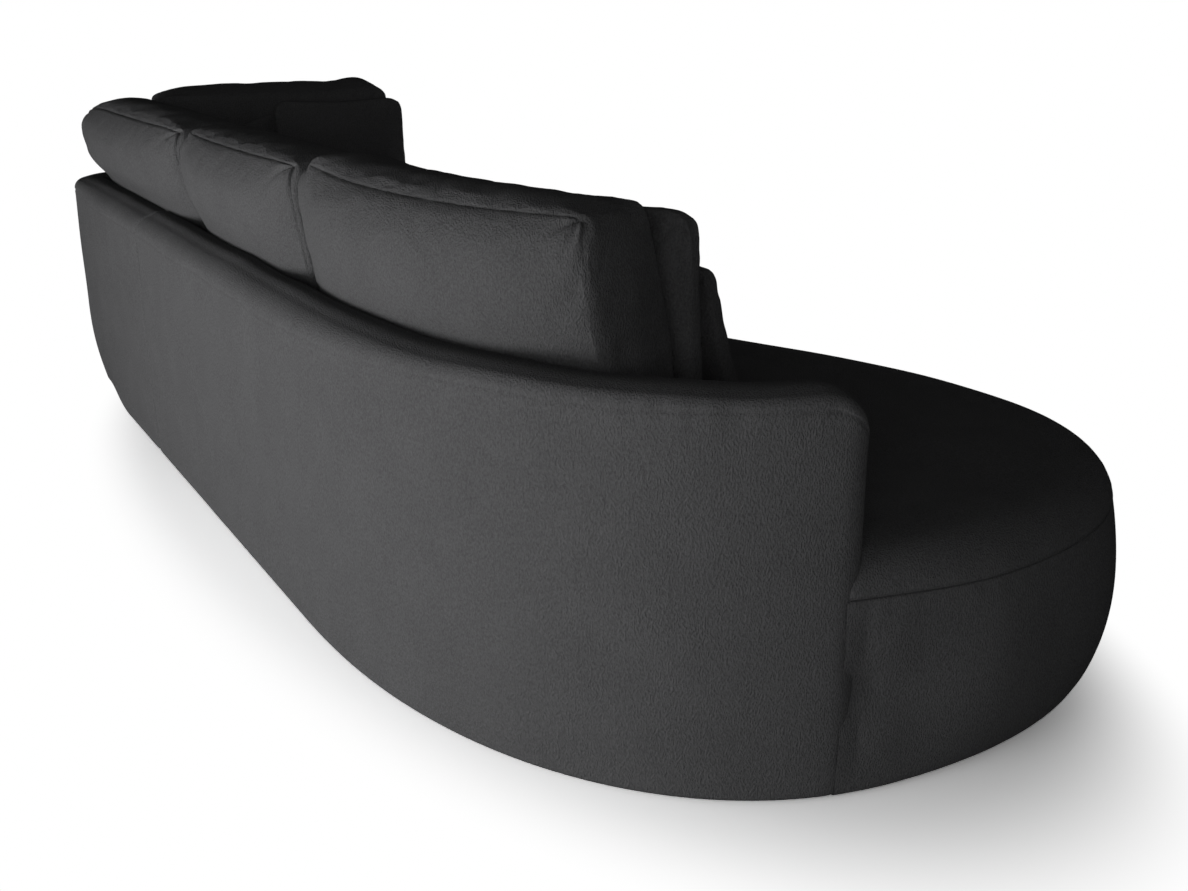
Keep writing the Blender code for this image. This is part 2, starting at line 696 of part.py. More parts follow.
cushion("end_back_cushion", boxed(END_WIDTH, CUSHION_HEIGHT), (12, 4, 6),
        lambda u: LONG.at(end_middle + u), back_depth(END_LEAN), END_LEAN, FABRIC, long_module)
arm_middle = REAR - front_depth(CORNER_LEAN) - CUSHION_SPACE - ARM_WIDTH / 2
cushion("arm_cushion", boxed(ARM_WIDTH, ARM_CUSHION_HEIGHT, ARM_FLARE), (8, 4, 6),
        straight_run((FAR, arm_middle), (0.0, 1.0)), back_depth(ARM_LEAN), ARM_LEAN, FABRIC, corner_module)

# Scatter pillows stand parallel to the cushions behind them, but for the low one that leans
rest = front_depth(ARM_LEAN) + PILLOW_CLEAR
cushion("arm_pillow_rear", pillow(ARM_REAR_WIDTH, ARM_REAR_HEIGHT, ARM_REAR_THICKNESS, ARM_REAR_ROLL),
        (8, 1, 8), straight_run((FAR, arm_middle + ARM_REAR_SHIFT), (0.0, 1.0)),
        rest + ARM_REAR_THICKNESS / 2, ARM_LEAN, FABRIC, corner_module)
cushion("arm_pillow_front", pillow(ARM_FRONT_WIDTH, ARM_FRONT_HEIGHT, ARM_FRONT_THICKNESS), (8, 1, 8),
        straight_run((FAR, arm_middle + ARM_FRONT_SHIFT), (0.0, 1.0)),
        rest + ARM_FRONT_SPACE + ARM_FRONT_THICKNESS / 2, ARM_LEAN, FABRIC, corner_module)
rest = front_depth(END_LEAN) + 2 * PILLOW_CLEAR
point, inward = LONG.at(end_middle + END_REAR_SHIFT)
heading = Vector((inward.y, -inward.x))
cushion("end_pillow_rear", pillow(END_REAR_WIDTH, END_REAR_HEIGHT, END_REAR_THICKNESS), (8, 1, 8),
        straight_run(point, heading), rest + END_REAR_THICKNESS / 2, END_LEAN, FABRIC, long_module)
rest += END_REAR_THICKNESS + PILLOW_CLEAR
tilt = (math.tan(END_FRONT_LEAN) - math.tan(END_LEAN)) * END_FRONT_HEIGHT * END_FRONT_TOUCH
cushion("end_pillow_front", pillow(END_FRONT_WIDTH, END_FRONT_HEIGHT, END_FRONT_THICKNESS), (8, 1, 8),
        straight_run(point + heading * END_FRONT_SHIFT, heading),
        rest + END_FRONT_THICKNESS / 2 + tilt, END_FRONT_LEAN, FABRIC, long_module)
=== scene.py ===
import json
import math
import time

import bmesh
import bpy
import numpy as np
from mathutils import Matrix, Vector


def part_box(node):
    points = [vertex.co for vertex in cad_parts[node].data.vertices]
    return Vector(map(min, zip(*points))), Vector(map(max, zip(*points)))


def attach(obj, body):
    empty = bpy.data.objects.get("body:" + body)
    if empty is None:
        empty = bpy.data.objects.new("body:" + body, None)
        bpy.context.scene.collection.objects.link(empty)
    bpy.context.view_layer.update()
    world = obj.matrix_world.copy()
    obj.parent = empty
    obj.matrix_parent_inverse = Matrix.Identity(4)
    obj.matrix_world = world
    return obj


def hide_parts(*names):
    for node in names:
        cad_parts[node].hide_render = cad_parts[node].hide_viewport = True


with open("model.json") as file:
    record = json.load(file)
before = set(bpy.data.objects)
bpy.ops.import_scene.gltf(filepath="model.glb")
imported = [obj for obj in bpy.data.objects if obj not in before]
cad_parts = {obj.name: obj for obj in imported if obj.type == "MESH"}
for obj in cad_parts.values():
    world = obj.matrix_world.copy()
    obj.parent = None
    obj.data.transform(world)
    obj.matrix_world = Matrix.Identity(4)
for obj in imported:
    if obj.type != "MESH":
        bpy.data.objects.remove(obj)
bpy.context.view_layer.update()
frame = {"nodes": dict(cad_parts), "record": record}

print("frame loaded:", len(frame["nodes"]), "nodes")


# shader maths: a socket with operators, so that an expression adds its Math nodes
class Wire:
    def __init__(self, tree, node, output=0):
        self.tree = tree
        self.node = node
        self.socket = node.outputs[output]

    def out(self, output):
        return Wire(self.tree, self.node, output)

    # any node: its type, the settings made first, then values or wires for its sockets
    def add(self, kind, settings=None, sockets=None):
        node = self.tree.nodes.new(kind)
        for name, value in (settings or {}).items():
            setattr(node, name, value)
        for name, value in (sockets or {}).items():
            if isinstance(value, Wire):
                self.tree.links.new(value.socket, node.inputs[name])
            else:
                node.inputs[name].default_value = value
        return Wire(self.tree, node) if node.outputs else None

    def math(self, operation, first, second):
        return self.add("ShaderNodeMath", {"operation": operation}, {0: first, 1: second})

    def __add__(self, other):
        return self.math("ADD", self, other)

    def __sub__(self, other):
        return self.math("SUBTRACT", self, other)

    def __mul__(self, other):
        return self.math("MULTIPLY", self, other)

    def __rsub__(self, other):
        return self.math("SUBTRACT", other, self)

    __radd__ = __add__
    __rmul__ = __mul__


def startMaterial(name):
    made = bpy.data.materials.new(name)
    made.use_nodes = True
    tree = made.node_tree
    tree.nodes.clear()
    place = Wire(tree, tree.nodes.new("ShaderNodeTexCoord"), "Object")
    return made, place


def closeMaterial(place, shader):
    place.add("ShaderNodeOutputMaterial", None, {"Surface": shader})


# relief is a height pattern and how deep it is, constants are set on the shader's own sockets
def closeFinish(made, place, colour, roughness, relief, constants=None):
    pattern, depth = relief
    bump = place.add("ShaderNodeBump", None, {"Height": pattern, "Distance": depth, "Strength": 1.0})
    closeMaterial(place, place.add("ShaderNodeBsdfPrincipled", None, {
        "Base Color": colour, "Roughness": roughness, "Normal": bump, **(constants or {})}))
    return made


def noise(place, scale, detail=2.0, roughness=0.5, stretch=(1.0, 1.0, 1.0)):
    spot = place.add("ShaderNodeMapping", {"vector_type": "POINT"}, {"Vector": place, "Scale": stretch})
    return spot.add("ShaderNodeTexNoise", None,
                    {"Vector": spot, "Scale": scale, "Detail": detail, "Roughness": roughness})


def twoTone(place, factor, dark, light):
    return place.add("ShaderNodeMix", {"data_type": "RGBA"},
                     {0: factor, 6: (*dark, 1.0), 7: (*light, 1.0)}).out(2)


boucle = {
    "dark": (0.036, 0.036, 0.037),
    "light": (0.100, 0.100, 0.102),
    "nap": {"scale": 370.0, "detail": 1.5, "stretch": (1.0, 1.0, 0.60)},    # ripples about 3 mm across
    "fibre": {"scale": 1100.0, "roughness": 0.6},
    "brush": {"scale": 9.0, "detail": 3.0, "roughness": 0.55},  # patches where the pile lies another way
    "shade": (0.9, 0.5, 0.22),   # how much ripples, fibres and patches show in the colour; the ripples' share is painted shade in their dips
    "relief": (0.75, 0.25),      # shares of ripples and fibres in the relief
    "height": 0.0042,
    "roughness": (0.86, 0.2),    # its level, and how much the fibres change it
    "gloss": 0.0,
}


# short pile: stretched ripples with fine fibres on them; the colour is darker in the dips as painted shade,
# and the fibres and patches add the pile's own random tone
def boucleCloth(name):
    made, place = startMaterial(name)
    nap, fibre, brush = [noise(place, **boucle[pattern]) for pattern in ("nap", "fibre", "brush")]
    napShare, fibreShare = boucle["relief"]
    relief = nap * napShare + fibre * fibreShare
    napShare, fibreShare, brushShare = boucle["shade"]
    # the ripple term paints shade into the dips, where the relief is lowest; the fibre and patch terms are
    # the pile's own tone
    shade = (nap - 0.5) * napShare + (fibre - 0.5) * fibreShare + (brush - 0.5) * brushShare + 0.5
    level, change = boucle["roughness"]
    return closeFinish(made, place, twoTone(place, shade, boucle["dark"], boucle["light"]),
                       level + (fibre - 0.5) * change, (relief, boucle["height"]),
                       {"Specular IOR Level": boucle["gloss"]})


cloth = boucleCloth("charcoalBoucle")


# raw plywood: long grain along x, pores and a slow change of tone
def rawPlywood(name):
    made, place = startMaterial(name)
    grain = noise(place, scale=46.0, detail=4.0, roughness=0.6, stretch=(0.12, 1.0, 1.0))
    pores = noise(place, scale=420.0, stretch=(0.08, 1.0, 1.0))
    tone = noise(place, scale=3.0)
    shade = grain * 0.6 + tone * 0.4 - (pores - 0.5) * 0.35
    colour = twoTone(place, shade, dark=(0.33, 0.22, 0.12), light=(0.66, 0.51, 0.33))
    return closeFinish(made, place, colour, roughness=0.62 + pores * 0.2, relief=(grain + pores, 0.0004))


# open-cell foam: small round cells, with painted shade darkening their hollows
def seatFoam(name):
    made, place = startMaterial(name)
    cells = place.add("ShaderNodeTexVoronoi", {"feature": "F1"}, {"Vector": place, "Scale": 420.0})
    tone = noise(place, scale=5.0)
    # the cells' distance pattern darkens the hollows, where the relief is lowest: painted shade; the slow
    # tone is the foam's own
    colour = twoTone(place, cells * 0.8 + tone * 0.3, dark=(0.55, 0.50, 0.38), light=(0.80, 0.76, 0.63))
    return closeFinish(made, place, colour, roughness=0.9 + (tone - 0.5) * 0.1, relief=(cells, 0.0008))


# woven elastic: fine ribs across both directions
def elasticWebbing(name):
    made, place = startMaterial(name)
    warp, weft = [place.add("ShaderNodeTexWave", {"bands_direction": way}, {"Vector": place, "Scale": 160.0})
                  for way in "XY"]
    weave = warp * 0.5 + weft * 0.5
    colour = twoTone(place, weave, dark=(0.014, 0.014, 0.014), light=(0.055, 0.055, 0.055))
    return closeFinish(made, place, colour, roughness=0.75 + weave * 0.15, relief=(weave, 0.0006))


# moulded black plastic with a faint grain and scuffs
def mouldedPlastic(name):
    made, place = startMaterial(name)
    grain = noise(place, scale=900.0)
    scuff = noise(place, scale=60.0, detail=5.0, roughness=0.65)
    colour = twoTone(place, scuff, dark=(0.012, 0.012, 0.012), light=(0.032, 0.032, 0.032))
    return closeFinish(made, place, colour, roughness=0.42 + scuff * 0.25, relief=(grain, 0.0002))


# zinc plate: small crystals that differ in tone
def zincPlate(name):
    made, place = startMaterial(name)
    spangle = place.add("ShaderNodeTexVoronoi", {"feature": "F1"}, {"Vector": place, "Scale": 210.0})
    tone = spangle.out("Color").add("ShaderNodeRGBToBW", None, {"Color": spangle.out("Color")})
    colour = twoTone(place, tone, dark=(0.50, 0.51, 0.52), light=(0.72, 0.72, 0.70))
    return closeFinish(made, place, colour, roughness=0.28 + tone * 0.2, relief=(tone, 0.0001),
                       constants={"Metallic": 1.0})


innerFinishes = {
    "plywood": rawPlywood("rawPlywood"),
    "foam": seatFoam("seatFoam"),
    "webbing": elasticWebbing("elasticWebbing"),
    "black_plastic": mouldedPlastic("mouldedPlastic"),
    "zinc_steel": zincPlate("zincPlate"),
    "charcoal_fabric": cloth,
}
for row in frame["record"]["subparts"]:
    node = frame["nodes"][row["node"]]
    node.data.materials.clear()
    node.data.materials.append(innerFinishes[row["material_slot"]])
print("materials made:", len(innerFinishes))


# plan of the sofa, as the solids have it; the padded nose reaches a little past the solid,
# and the cloth hangs a little below the frame
outline = {
    "rearCurveLength": 1.02,
    "rearCurveDepth": 0.71,
    "rearCurvePower": 2.33,
    "openEndLength": 0.54,
    "openEndPower": 2.3,
    "frontSweepLength": 1.20,
    "bulge": 0.034,
    "shellEndDepth": 0.515,
    "shellThickness": 0.095,
    "rearRadius": 0.15,
    "frontRadius": 0.20,
    "armStep": 0.045,
    "noseReach": 0.009,
    "hang": 0.009,
}
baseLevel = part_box("long_back_shell")[0].z - outline["hang"]
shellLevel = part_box("long_back_shell")[1].z
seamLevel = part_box("long_border")[1].z
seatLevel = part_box("long_seat_cover")[1].z
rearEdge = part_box("long_back_shell")[1].y
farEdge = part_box("corner_back_shell")[1].x
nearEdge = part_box("long_border")[0].x + outline["bulge"]
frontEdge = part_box("corner_border")[0].y + outline["bulge"]
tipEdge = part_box("long_border")[0].y + outline["bulge"]
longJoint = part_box("long_back_shell")[1].x
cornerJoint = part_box("corner_back_shell")[0].x


# a plan line walked by its length; inward is the side that faces the seat
class Run:
    def __init__(self, points, side):
        points = np.asarray(points, float)
        step = np.linalg.norm(np.diff(points, axis=0), axis=1)
        points = points[np.concatenate([[True], step > 1e-7])]
        step = np.linalg.norm(np.diff(points, axis=0), axis=1)
        self.points = points
        self.side = side
        self.length = np.concatenate([[0.0], np.cumsum(step)])
        heading = np.gradient(points, self.length, axis=0)
        heading /= np.linalg.norm(heading, axis=1, keepdims=True)
        self.inward = side * np.stack([-heading[:, 1], heading[:, 0]], 1)

    @property
    def total(self):
        return self.length[-1]

    def at(self, s):
        point = np.stack([np.interp(s, self.length, self.points[:, k]) for k in (0, 1)], -1)
        inward = np.stack([np.interp(s, self.length, self.inward[:, k]) for k in (0, 1)], -1)
        return point, inward / np.linalg.norm(inward, axis=-1, keepdims=True)


# quarter of a squared ellipse: each axis is its half length times |cos| or |sin| to 2 / power
def squaredArc(centre, half, power, first, last, count):
    angle = np.radians(np.linspace(first, last, count))
    share = np.stack([np.cos(angle), np.sin(angle)], 1)
    share[np.abs(share) < 1e-9] = 0.0
    return np.asarray(centre) + np.asarray(half) * np.sign(share) * np.abs(share) ** (2 / power)


def straight(first, last, count):
    t = np.linspace(0.0, 1.0, count)[:, None]
    return np.asarray(first) * (1 - t) + np.asarray(last) * t


def longOutline():
    middle = rearEdge - outline["rearCurveDepth"]
    reach = middle - tipEdge
    rear = squaredArc((nearEdge + outline["rearCurveLength"], middle),
                      (outline["rearCurveLength"], outline["rearCurveDepth"]),
                      outline["rearCurvePower"], 90, 180, 500)
    end = squaredArc((nearEdge + outline["openEndLength"], middle), (outline["openEndLength"], reach),
                     outline["openEndPower"], 180, 270, 400)
    t = np.linspace(0.0, 1.0, 200)
    sweep = np.stack([nearEdge + outline["openEndLength"] + outline["frontSweepLength"] * t,
                      frontEdge + (tipEdge - frontEdge) * (1 + np.cos(np.pi * t)) / 2], 1)
    lead = straight((longJoint, rearEdge), rear[0], 60)
    tail = straight(sweep[-1], (longJoint, frontEdge), 60)
    return np.concatenate([lead, rear, end, sweep, tail])


def cornerOutline():
    radius = outline["rearRadius"]
    low = frontEdge + outline["frontRadius"] + outline["armStep"]
    bend = squaredArc((farEdge - radius, rearEdge - radius), (radius, radius), 2.0, 90, 0, 60)
    return np.concatenate([straight((cornerJoint, rearEdge), bend[0], 40), bend,
                           straight(bend[-1], (farEdge, low), 40)])


def cornerFrontOutline(past):
    radius = outline["frontRadius"]
    bend = squaredArc((farEdge - radius, frontEdge + radius), (radius, radius), 2.0, -90, 0, 60)
    return np.concatenate([straight((cornerJoint, frontEdge), bend[0], 40), bend,
                           straight(bend[-1], bend[-1] + np.array([0.0, outline["armStep"] + past]), 10)])


longRun = Run(longOutline(), 1)
cornerBackRun = Run(cornerOutline(), -1)
cornerFrontRun = Run(cornerFrontOutline(0.0), 1)
shellEnd = np.interp(outline["shellEndDepth"], (rearEdge - longRun.points[:, 1])[:800], longRun.length[:800])
shellEnd += outline["noseReach"]
print("plan ready: long run", round(float(longRun.total), 3), "m,",
      "shell ends at", round(float(shellEnd), 3), "m")


# sum of sine waves in random directions, with lengths spread about one length, scaled to unit size
def waves(points, length, seed, count=18):
    dice = np.random.default_rng(seed)
    direction = dice.normal(size=(count, points.shape[-1]))
    direction /= np.linalg.norm(direction, axis=1, keepdims=True)
    pitch = length * dice.uniform(0.7, 1.5, count)
    phase = dice.uniform(0.0, 2 * np.pi, count)
    turns = direction * (2 * np.pi / pitch)[:, None]
    return np.sin(points @ turns.T + phase).sum(-1) / math.sqrt(count / 2)


# the same along one line, as a column
def ripples(s, length, seed):
    return waves(np.stack([s, 0 * s], -1), length, seed)[:, None]


def smooth(t):
    t = np.clip(t, 0.0, 1.0)
    return t * t * (3 - 2 * t)


# a sewn line: a narrow groove with a soft lip on each side, by the distance from the line
def sewnLine(distance, depth, width):
    lip = np.exp(-((np.abs(distance) - 2.6 * width) / (1.5 * width)) ** 2)
    return depth * (0.35 * lip - np.exp(-(distance / width) ** 2))


# how far a rounded edge of this radius stands back at a distance from its end
def roundOff(distance, radius):
    left = np.clip(radius - distance, 0.0, radius)
    return radius - np.sqrt(np.maximum(radius ** 2 - left ** 2, 0.0))


# points from start to end, closer together towards both ends
def crowded(start, end, step, finest):
    count = max(int(abs(end - start) / step), 8)
    t = np.linspace(-1.0, 1.0, count + 1)
    edge = min(finest / step, 1.0)
    t = np.sign(t) * (1 - (1 - np.abs(t)) ** (1 + (1 - edge) * 0.9))
    return start + (end - start) * (t + 1) / 2


# outward normals of a grid from the cross product of its two directions
def gridNormals(grid, side):
    along = np.gradient(grid, axis=0)
    across = np.roll(grid, -1, 1) - np.roll(grid, 1, 1)
    normal = side * np.cross(along, across)
    return normal / np.maximum(np.linalg.norm(normal, axis=-1, keepdims=True), 1e-9)


def gridQuads(rows, columns, wrap, side):
    i, j = np.meshgrid(np.arange(rows - 1), np.arange(columns if wrap else columns - 1), indexing="ij")
    k = (j + 1) % columns
    quads = np.stack([i * columns + j, (i + 1) * columns + j, (i + 1) * columns + k, i * columns + k], -1)
    quads = quads.reshape(-1, 4)
    return quads if side > 0 else quads[:, ::-1]


# merge joins points that are closer than this, outward turns every face outwards
def newPiece(name, points, faces, merge=None, outward=False):
    mesh = bpy.data.meshes.new(name)
    mesh.from_pydata(points.reshape(-1, 3).tolist(), [], faces)
    if merge or outward:
        bm = bmesh.new()
        bm.from_mesh(mesh)
        if merge:
            bmesh.ops.remove_doubles(bm, verts=bm.verts, dist=merge)
        if outward:
            bmesh.ops.recalc_face_normals(bm, faces=bm.faces)
        bm.to_mesh(mesh)
        bm.free()
    mesh.shade_smooth()
    piece = bpy.data.objects.new(name, mesh)
    bpy.context.scene.collection.objects.link(piece)
    return piece


def dress(piece, body, nodes):
    piece.data.materials.append(cloth)
    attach(piece, body)
    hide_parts(*nodes)
    print("made", piece.name, len(piece.data.polygons), "faces")


# profile points carried along a run: inset is measured from the plan line towards the seat
def carried(run, s, inset, height):
    point, inward = run.at(s)
    flat = point[:, None, :] + inward[:, None, :] * inset[..., None]
    return np.concatenate([flat, height[..., None]], -1)


backShell = {
    "step": 0.009,
    "finest": 0.004,
    "outerRound": (0.038, 0.017),    # far from the free end, and near it
    "roundOver": (0.40, 1.40),       # distances from the free end between which it changes
    "returnOver": (0.45, 0.85, 0.7), # the same on the corner shell, from the joint, and by how much
    "innerRound": 0.020,
    "bottomRound": 0.010,
    "topSwell": 0.004,
    "bandTilt": (0.020, 0.006),      # how much lower the band's outer edge lies, there and here
    "tiltFade": 0.24,
    "endDrop": 0.084,
    "endRound": 0.056,           # length over which the nose narrows, and how bluntly
    "endPower": 2.4,
    "jointRound": 0.019,
    "jointReach": 0.040,
    "tuckHeight": 0.26,
    "tuckOver": (0.35, 0.80),        # distances from the joint between which the outer face draws in
    "faceHeight": 0.60,
    "seamDrop": 0.005,           # sewn line below the rounded edge
    "seamDepth": (0.0010, 0.0024),   # far from the free end, and near it
    "seamWidth": 0.0026,
    "seamDrift": (0.0022, 0.45),     # how far the line wanders, and over what length
    "pucker": (0.0003, 0.0008),
    "puckerLength": 0.042,
    "puckerReach": 0.016,
    "sway": 0.0011,
    "swayLength": 0.30,
    "calmFoot": 0.030,
    "calmNose": (0.050, 0.020),  # puckers and sewn lines fade over these lengths before the nose
    "tightEnd": 1.2,             # from this distance on the lines are drawn tighter towards the free end
    "rows": (34, 14),            # on the nose, and at the joint
    "columns": (9, 4, 11),       # round an upper edge, round the foot, and over the band
    "fill": 0.85,
}


# back shell: an outer face, a rounded band on top and an inner face, carried along the plan line,
# narrowing to a rounded nose at the free end and rounded off at the module joint
def makeBackShell(name, run, end, topRound, tuck, body, node, seed):
    v = backShell
    half = outline["shellThickness"] / 2
    noseRows, jointRows = v["rows"]
    free = v["endDrop"] * (1 - np.cos(np.linspace(0.0, np.pi / 2, noseRows)))
    joint = v["jointReach"] * (1 - np.cos(np.linspace(0.0, np.pi / 2, jointRows)))
    middle = np.linspace(joint[-1], end - free[-1], int((end - free[-1]) / v["step"]))
    s = np.concatenate([joint[:-1], middle, end - free[::-1][1:]])
    toEnd = end - s
    atJoint = roundOff(s, v["jointRound"])
    blunt = np.clip(1 - toEnd / v["endRound"], 0.0, 1.0) ** v["endPower"]
    width = half * (1 - blunt) ** (1 / v["endPower"]) - atJoint
    top = shellLevel - roundOff(toEnd, v["endDrop"]) - roundOff(s, topRound)
    if tuck == 0:
        near, far = v["roundOver"]
        away = smooth((toEnd - near) / (far - near))
    else:
        near, far, share = v["returnOver"]
        away = 1 - share * smooth((s - near) / (far - near))
    outer = np.minimum(v["outerRound"][1] + (v["outerRound"][0] - v["outerRound"][1]) * away, width)[:, None]
    inner = np.minimum(v["innerRound"], width)[:, None]
    foot = np.minimum(v["bottomRound"], width)[:, None]
    width = width[:, None]
    top = top[:, None]
    turnColumns, footColumns, bandColumns = v["columns"]
    turn = np.linspace(0.0, np.pi / 2, turnColumns)[None, :]
    bottomTurn = np.linspace(0.0, np.pi / 2, footColumns)[None, :]
    rise = crowded(0.0, 1.0, v["step"] / v["faceHeight"], v["finest"] / v["faceHeight"])[None, 1:-1]
    across = np.linspace(0.0, 1.0, bandColumns)[None, 1:-1]
    low = baseLevel + foot
    outerTop = top - outer
    innerTop = top - inner
    # one closed section: outer foot, outer face, outer round, band, inner round, inner face, inner foot
    inset = np.concatenate([
        half - width + foot * (1 - np.sin(bottomTurn)),
        half - width + 0 * rise,
        half - width + outer * (1 - np.cos(turn)),
        half - width + outer + (2 * width - outer - inner) * across,
        half + width - inner * (1 - np.sin(turn)),
        half + width + 0 * rise,
        half + width - foot * (1 - np.cos(bottomTurn)),
    ], 1)
    height = np.concatenate([
        low - foot * np.cos(bottomTurn),
        low + (outerTop - low) * rise,
        outerTop + outer * np.sin(turn),
        top + v["topSwell"] * np.sin(np.pi * across) * width / half,
        innerTop + inner * np.cos(turn),
        innerTop - (innerTop - low) * rise,
        low - foot * np.sin(bottomTurn),
    ], 1)
    # the band's slope fades down the faces by the fourth power of the height
    slope = 1 - np.clip(inset / (2 * half), 0.0, 1.0)
    tilt = (v["bandTilt"][1] + (v["bandTilt"][0] - v["bandTilt"][1]) * away) * smooth(toEnd / v["tiltFade"])
    tilt = tilt[:, None]
    height = height - tilt * slope * ((height - baseLevel) / (top - baseLevel)) ** 4
    # the outer face draws in towards the floor, by the square of how low it is, further along the run
    low = 1 - np.clip((height - baseLevel) / v["tuckHeight"], 0.0, 1.0)
    near, far = v["tuckOver"]
    inset = inset + tuck * smooth((s - near) / (far - near))[:, None] * low ** 2 * (inset < half)
    grid = carried(run, s, inset, height)
    normal = gridNormals(grid, run.side)
    count = height.shape[1]
    reach = np.linalg.norm(np.diff(np.stack([inset, height], -1), axis=1), axis=-1)
    girth = np.concatenate([np.zeros((len(s), 1)), np.cumsum(reach, 1)], 1)
    firstRound = bottomTurn.size + rise.size
    lastRound = firstRound + 2 * turn.size + across.size - 1
    seamOut = girth - (girth[:, firstRound] - v["seamDrop"])[:, None]
    seamIn = girth - (girth[:, lastRound] + v["seamDrop"])[:, None]
    drift = v["seamDrift"][0] * waves(s[:, None], v["seamDrift"][1], seed + 1)[:, None]
    tight = np.exp(-np.minimum(np.abs(seamOut), np.abs(seamIn)) / v["puckerReach"])
    pucker = ripples(s, v["puckerLength"], seed + 2)
    calm, sewn = [smooth(toEnd / length)[:, None] for length in v["calmNose"]]
    close = smooth(v["tightEnd"] - toEnd)[:, None]
    depth = v["seamDepth"][0] * (1 - close) + v["seamDepth"][1] * close
    push = v["sway"] * waves(grid, v["swayLength"], seed)
    for seam in (seamOut, seamIn):
        push += sewnLine(seam + drift, depth, v["seamWidth"]) * sewn
    push += (v["pucker"][0] * (1 - close) + v["pucker"][1] * close) * pucker * tight * calm
    push *= smooth((height - baseLevel) / v["calmFoot"])
    grid = grid + normal * push[..., None]
    quads = gridQuads(len(s), count, True, run.side).tolist()
    cap = list(range(count)) if run.side < 0 else list(range(count))[::-1]
    dress(newPiece(name, grid, quads + [cap], merge=0.00005), body, [node])


makeBackShell("longBackShell", longRun, shellEnd, topRound=0.028, tuck=0.0,
              body="long_module", node="long_back_shell", seed=11)
makeBackShell("cornerBackShell", cornerBackRun, cornerBackRun.total, topRound=0.009, tuck=0.030,
              body="corner_module", node="corner_back_shell", seed=21)


seatBorder = {
    "step": 0.009,
    "finest": (0.004, 0.0025),   # along the run, and up the face
    "tuck": 0.035,               # how far the border runs on behind the shell's nose
    "sink": (0.011, 0.9),        # how far it draws in beside the nose, and how bluntly
    "bulge": outline["bulge"] + 0.006,
    "fade": 0.26,
    # share of a half wave between floor and seam, how far up its peak sits, and bluntness
    "profile": (0.86, 0.92, 0.75),
    # the tuck by the shell's nose: distance from it, height, depth and size
    "notch": (0.015, 0.19, 0.006, 0.020),
    # the soft lumps beside it: distance, heights, rise and size
    "swell": (0.035, (0.25, 0.10), 0.0110, 0.056),
    "thickness": 0.030,
    "faceHeight": 0.32,
    "footRound": 0.010,
    "seamRound": 0.0014,
    "seamFade": 0.7,             # how much of the seam's groove is lost where the border swells
    "pucker": 0.0006,
    "puckerLength": 0.034,
    "puckerReach": 0.020,
    "puckerStart": 0.006,
    "sway": 0.0012,
    "swayLength": 0.26,
    "calmFoot": 0.030,
    "fill": 0.8,
}


# how far the open border swells: nothing beside the shell's nose, less where it faces the joint
def swellGrowth(run, s, freeEnd):
    inward = run.at(s)[1]
    facing = np.minimum(inward[:, 0], 0.0) * (run.side > 0)
    return smooth(np.abs(s - freeEnd) / seatBorder["fade"]) * (1 + facing)


# seat border: a panel that swells by part of a half wave from floor to seam, carried along the plan line
def makeBorder(name, run, start, end, freeEnd, body, node, seed):
    v = seatBorder
    s = crowded(start, end, v["step"], v["finest"][0])
    t = crowded(0.0, 1.0, v["step"] / v["faceHeight"], v["finest"][1] / v["faceHeight"])
    apart = np.abs(s - freeEnd)[:, None]
    grow = swellGrowth(run, s, freeEnd)[:, None]
    reach, power, blunt = v["profile"]
    height = baseLevel + (seamLevel - baseLevel) * t[None, :]
    face = v["sink"][0] * (1 - grow) * np.sin(np.pi * t[None, :]) ** v["sink"][1]
    face = face - v["bulge"] * grow * np.sin(np.pi * reach * t[None, :] ** power) ** blunt
    face = face + roundOff(seamLevel - height, v["seamRound"] * (1 - v["seamFade"] * grow))
    face = face + roundOff(height - baseLevel, v["footRound"])
    back = np.full((len(s), 2), v["thickness"])
    inset = np.concatenate([face, back], 1)
    height = np.concatenate([height + 0 * face, np.tile([seamLevel, baseLevel], (len(s), 1))], 1)
    grid = carried(run, s, inset, height)
    normal = gridNormals(grid, run.side)
    visible = np.concatenate([np.ones(len(t)), [0.0, 0.0]])[None, :]
    tight = np.exp(-(seamLevel - height) / v["puckerReach"])
    pucker = ripples(s, v["puckerLength"], seed + 2)
    push = v["sway"] * waves(grid, v["swayLength"], seed) * smooth((height - baseLevel) / v["calmFoot"])
    push += v["pucker"] * pucker * tight * smooth((seamLevel - height) / v["puckerStart"])
    place, level, depth, size = v["notch"]
    push -= depth * np.exp(-((apart - place) / size) ** 2 - ((height - level) / size) ** 2)
    place, levels, rise, size = v["swell"]
    for level in levels:
        push += rise * np.exp(-((apart - place) / size) ** 2 - ((height - level) / size) ** 2)
    grid = grid + normal * (push * visible)[..., None]
    count = inset.shape[1]
    quads = gridQuads(len(s), count, True, run.side).tolist()
    first = list(range(count))
    last = [(len(s) - 1) * count + k for k in first]
    caps = [first[::-1], last] if run.side > 0 else [first, last[::-1]]
    dress(newPiece(name, grid, quads + caps), body, [node])


makeBorder("longBorder", longRun, shellEnd - seatBorder["tuck"], longRun.total, shellEnd,
           body="long_module", node="long_border", seed=31)
cornerBorderRun = Run(cornerFrontOutline(seatBorder["tuck"]), 1)
makeBorder("cornerBorder", cornerBorderRun, 0.0, cornerBorderRun.total, cornerFrontRun.total,
           body="corner_module", node="corner_border", seed=41)


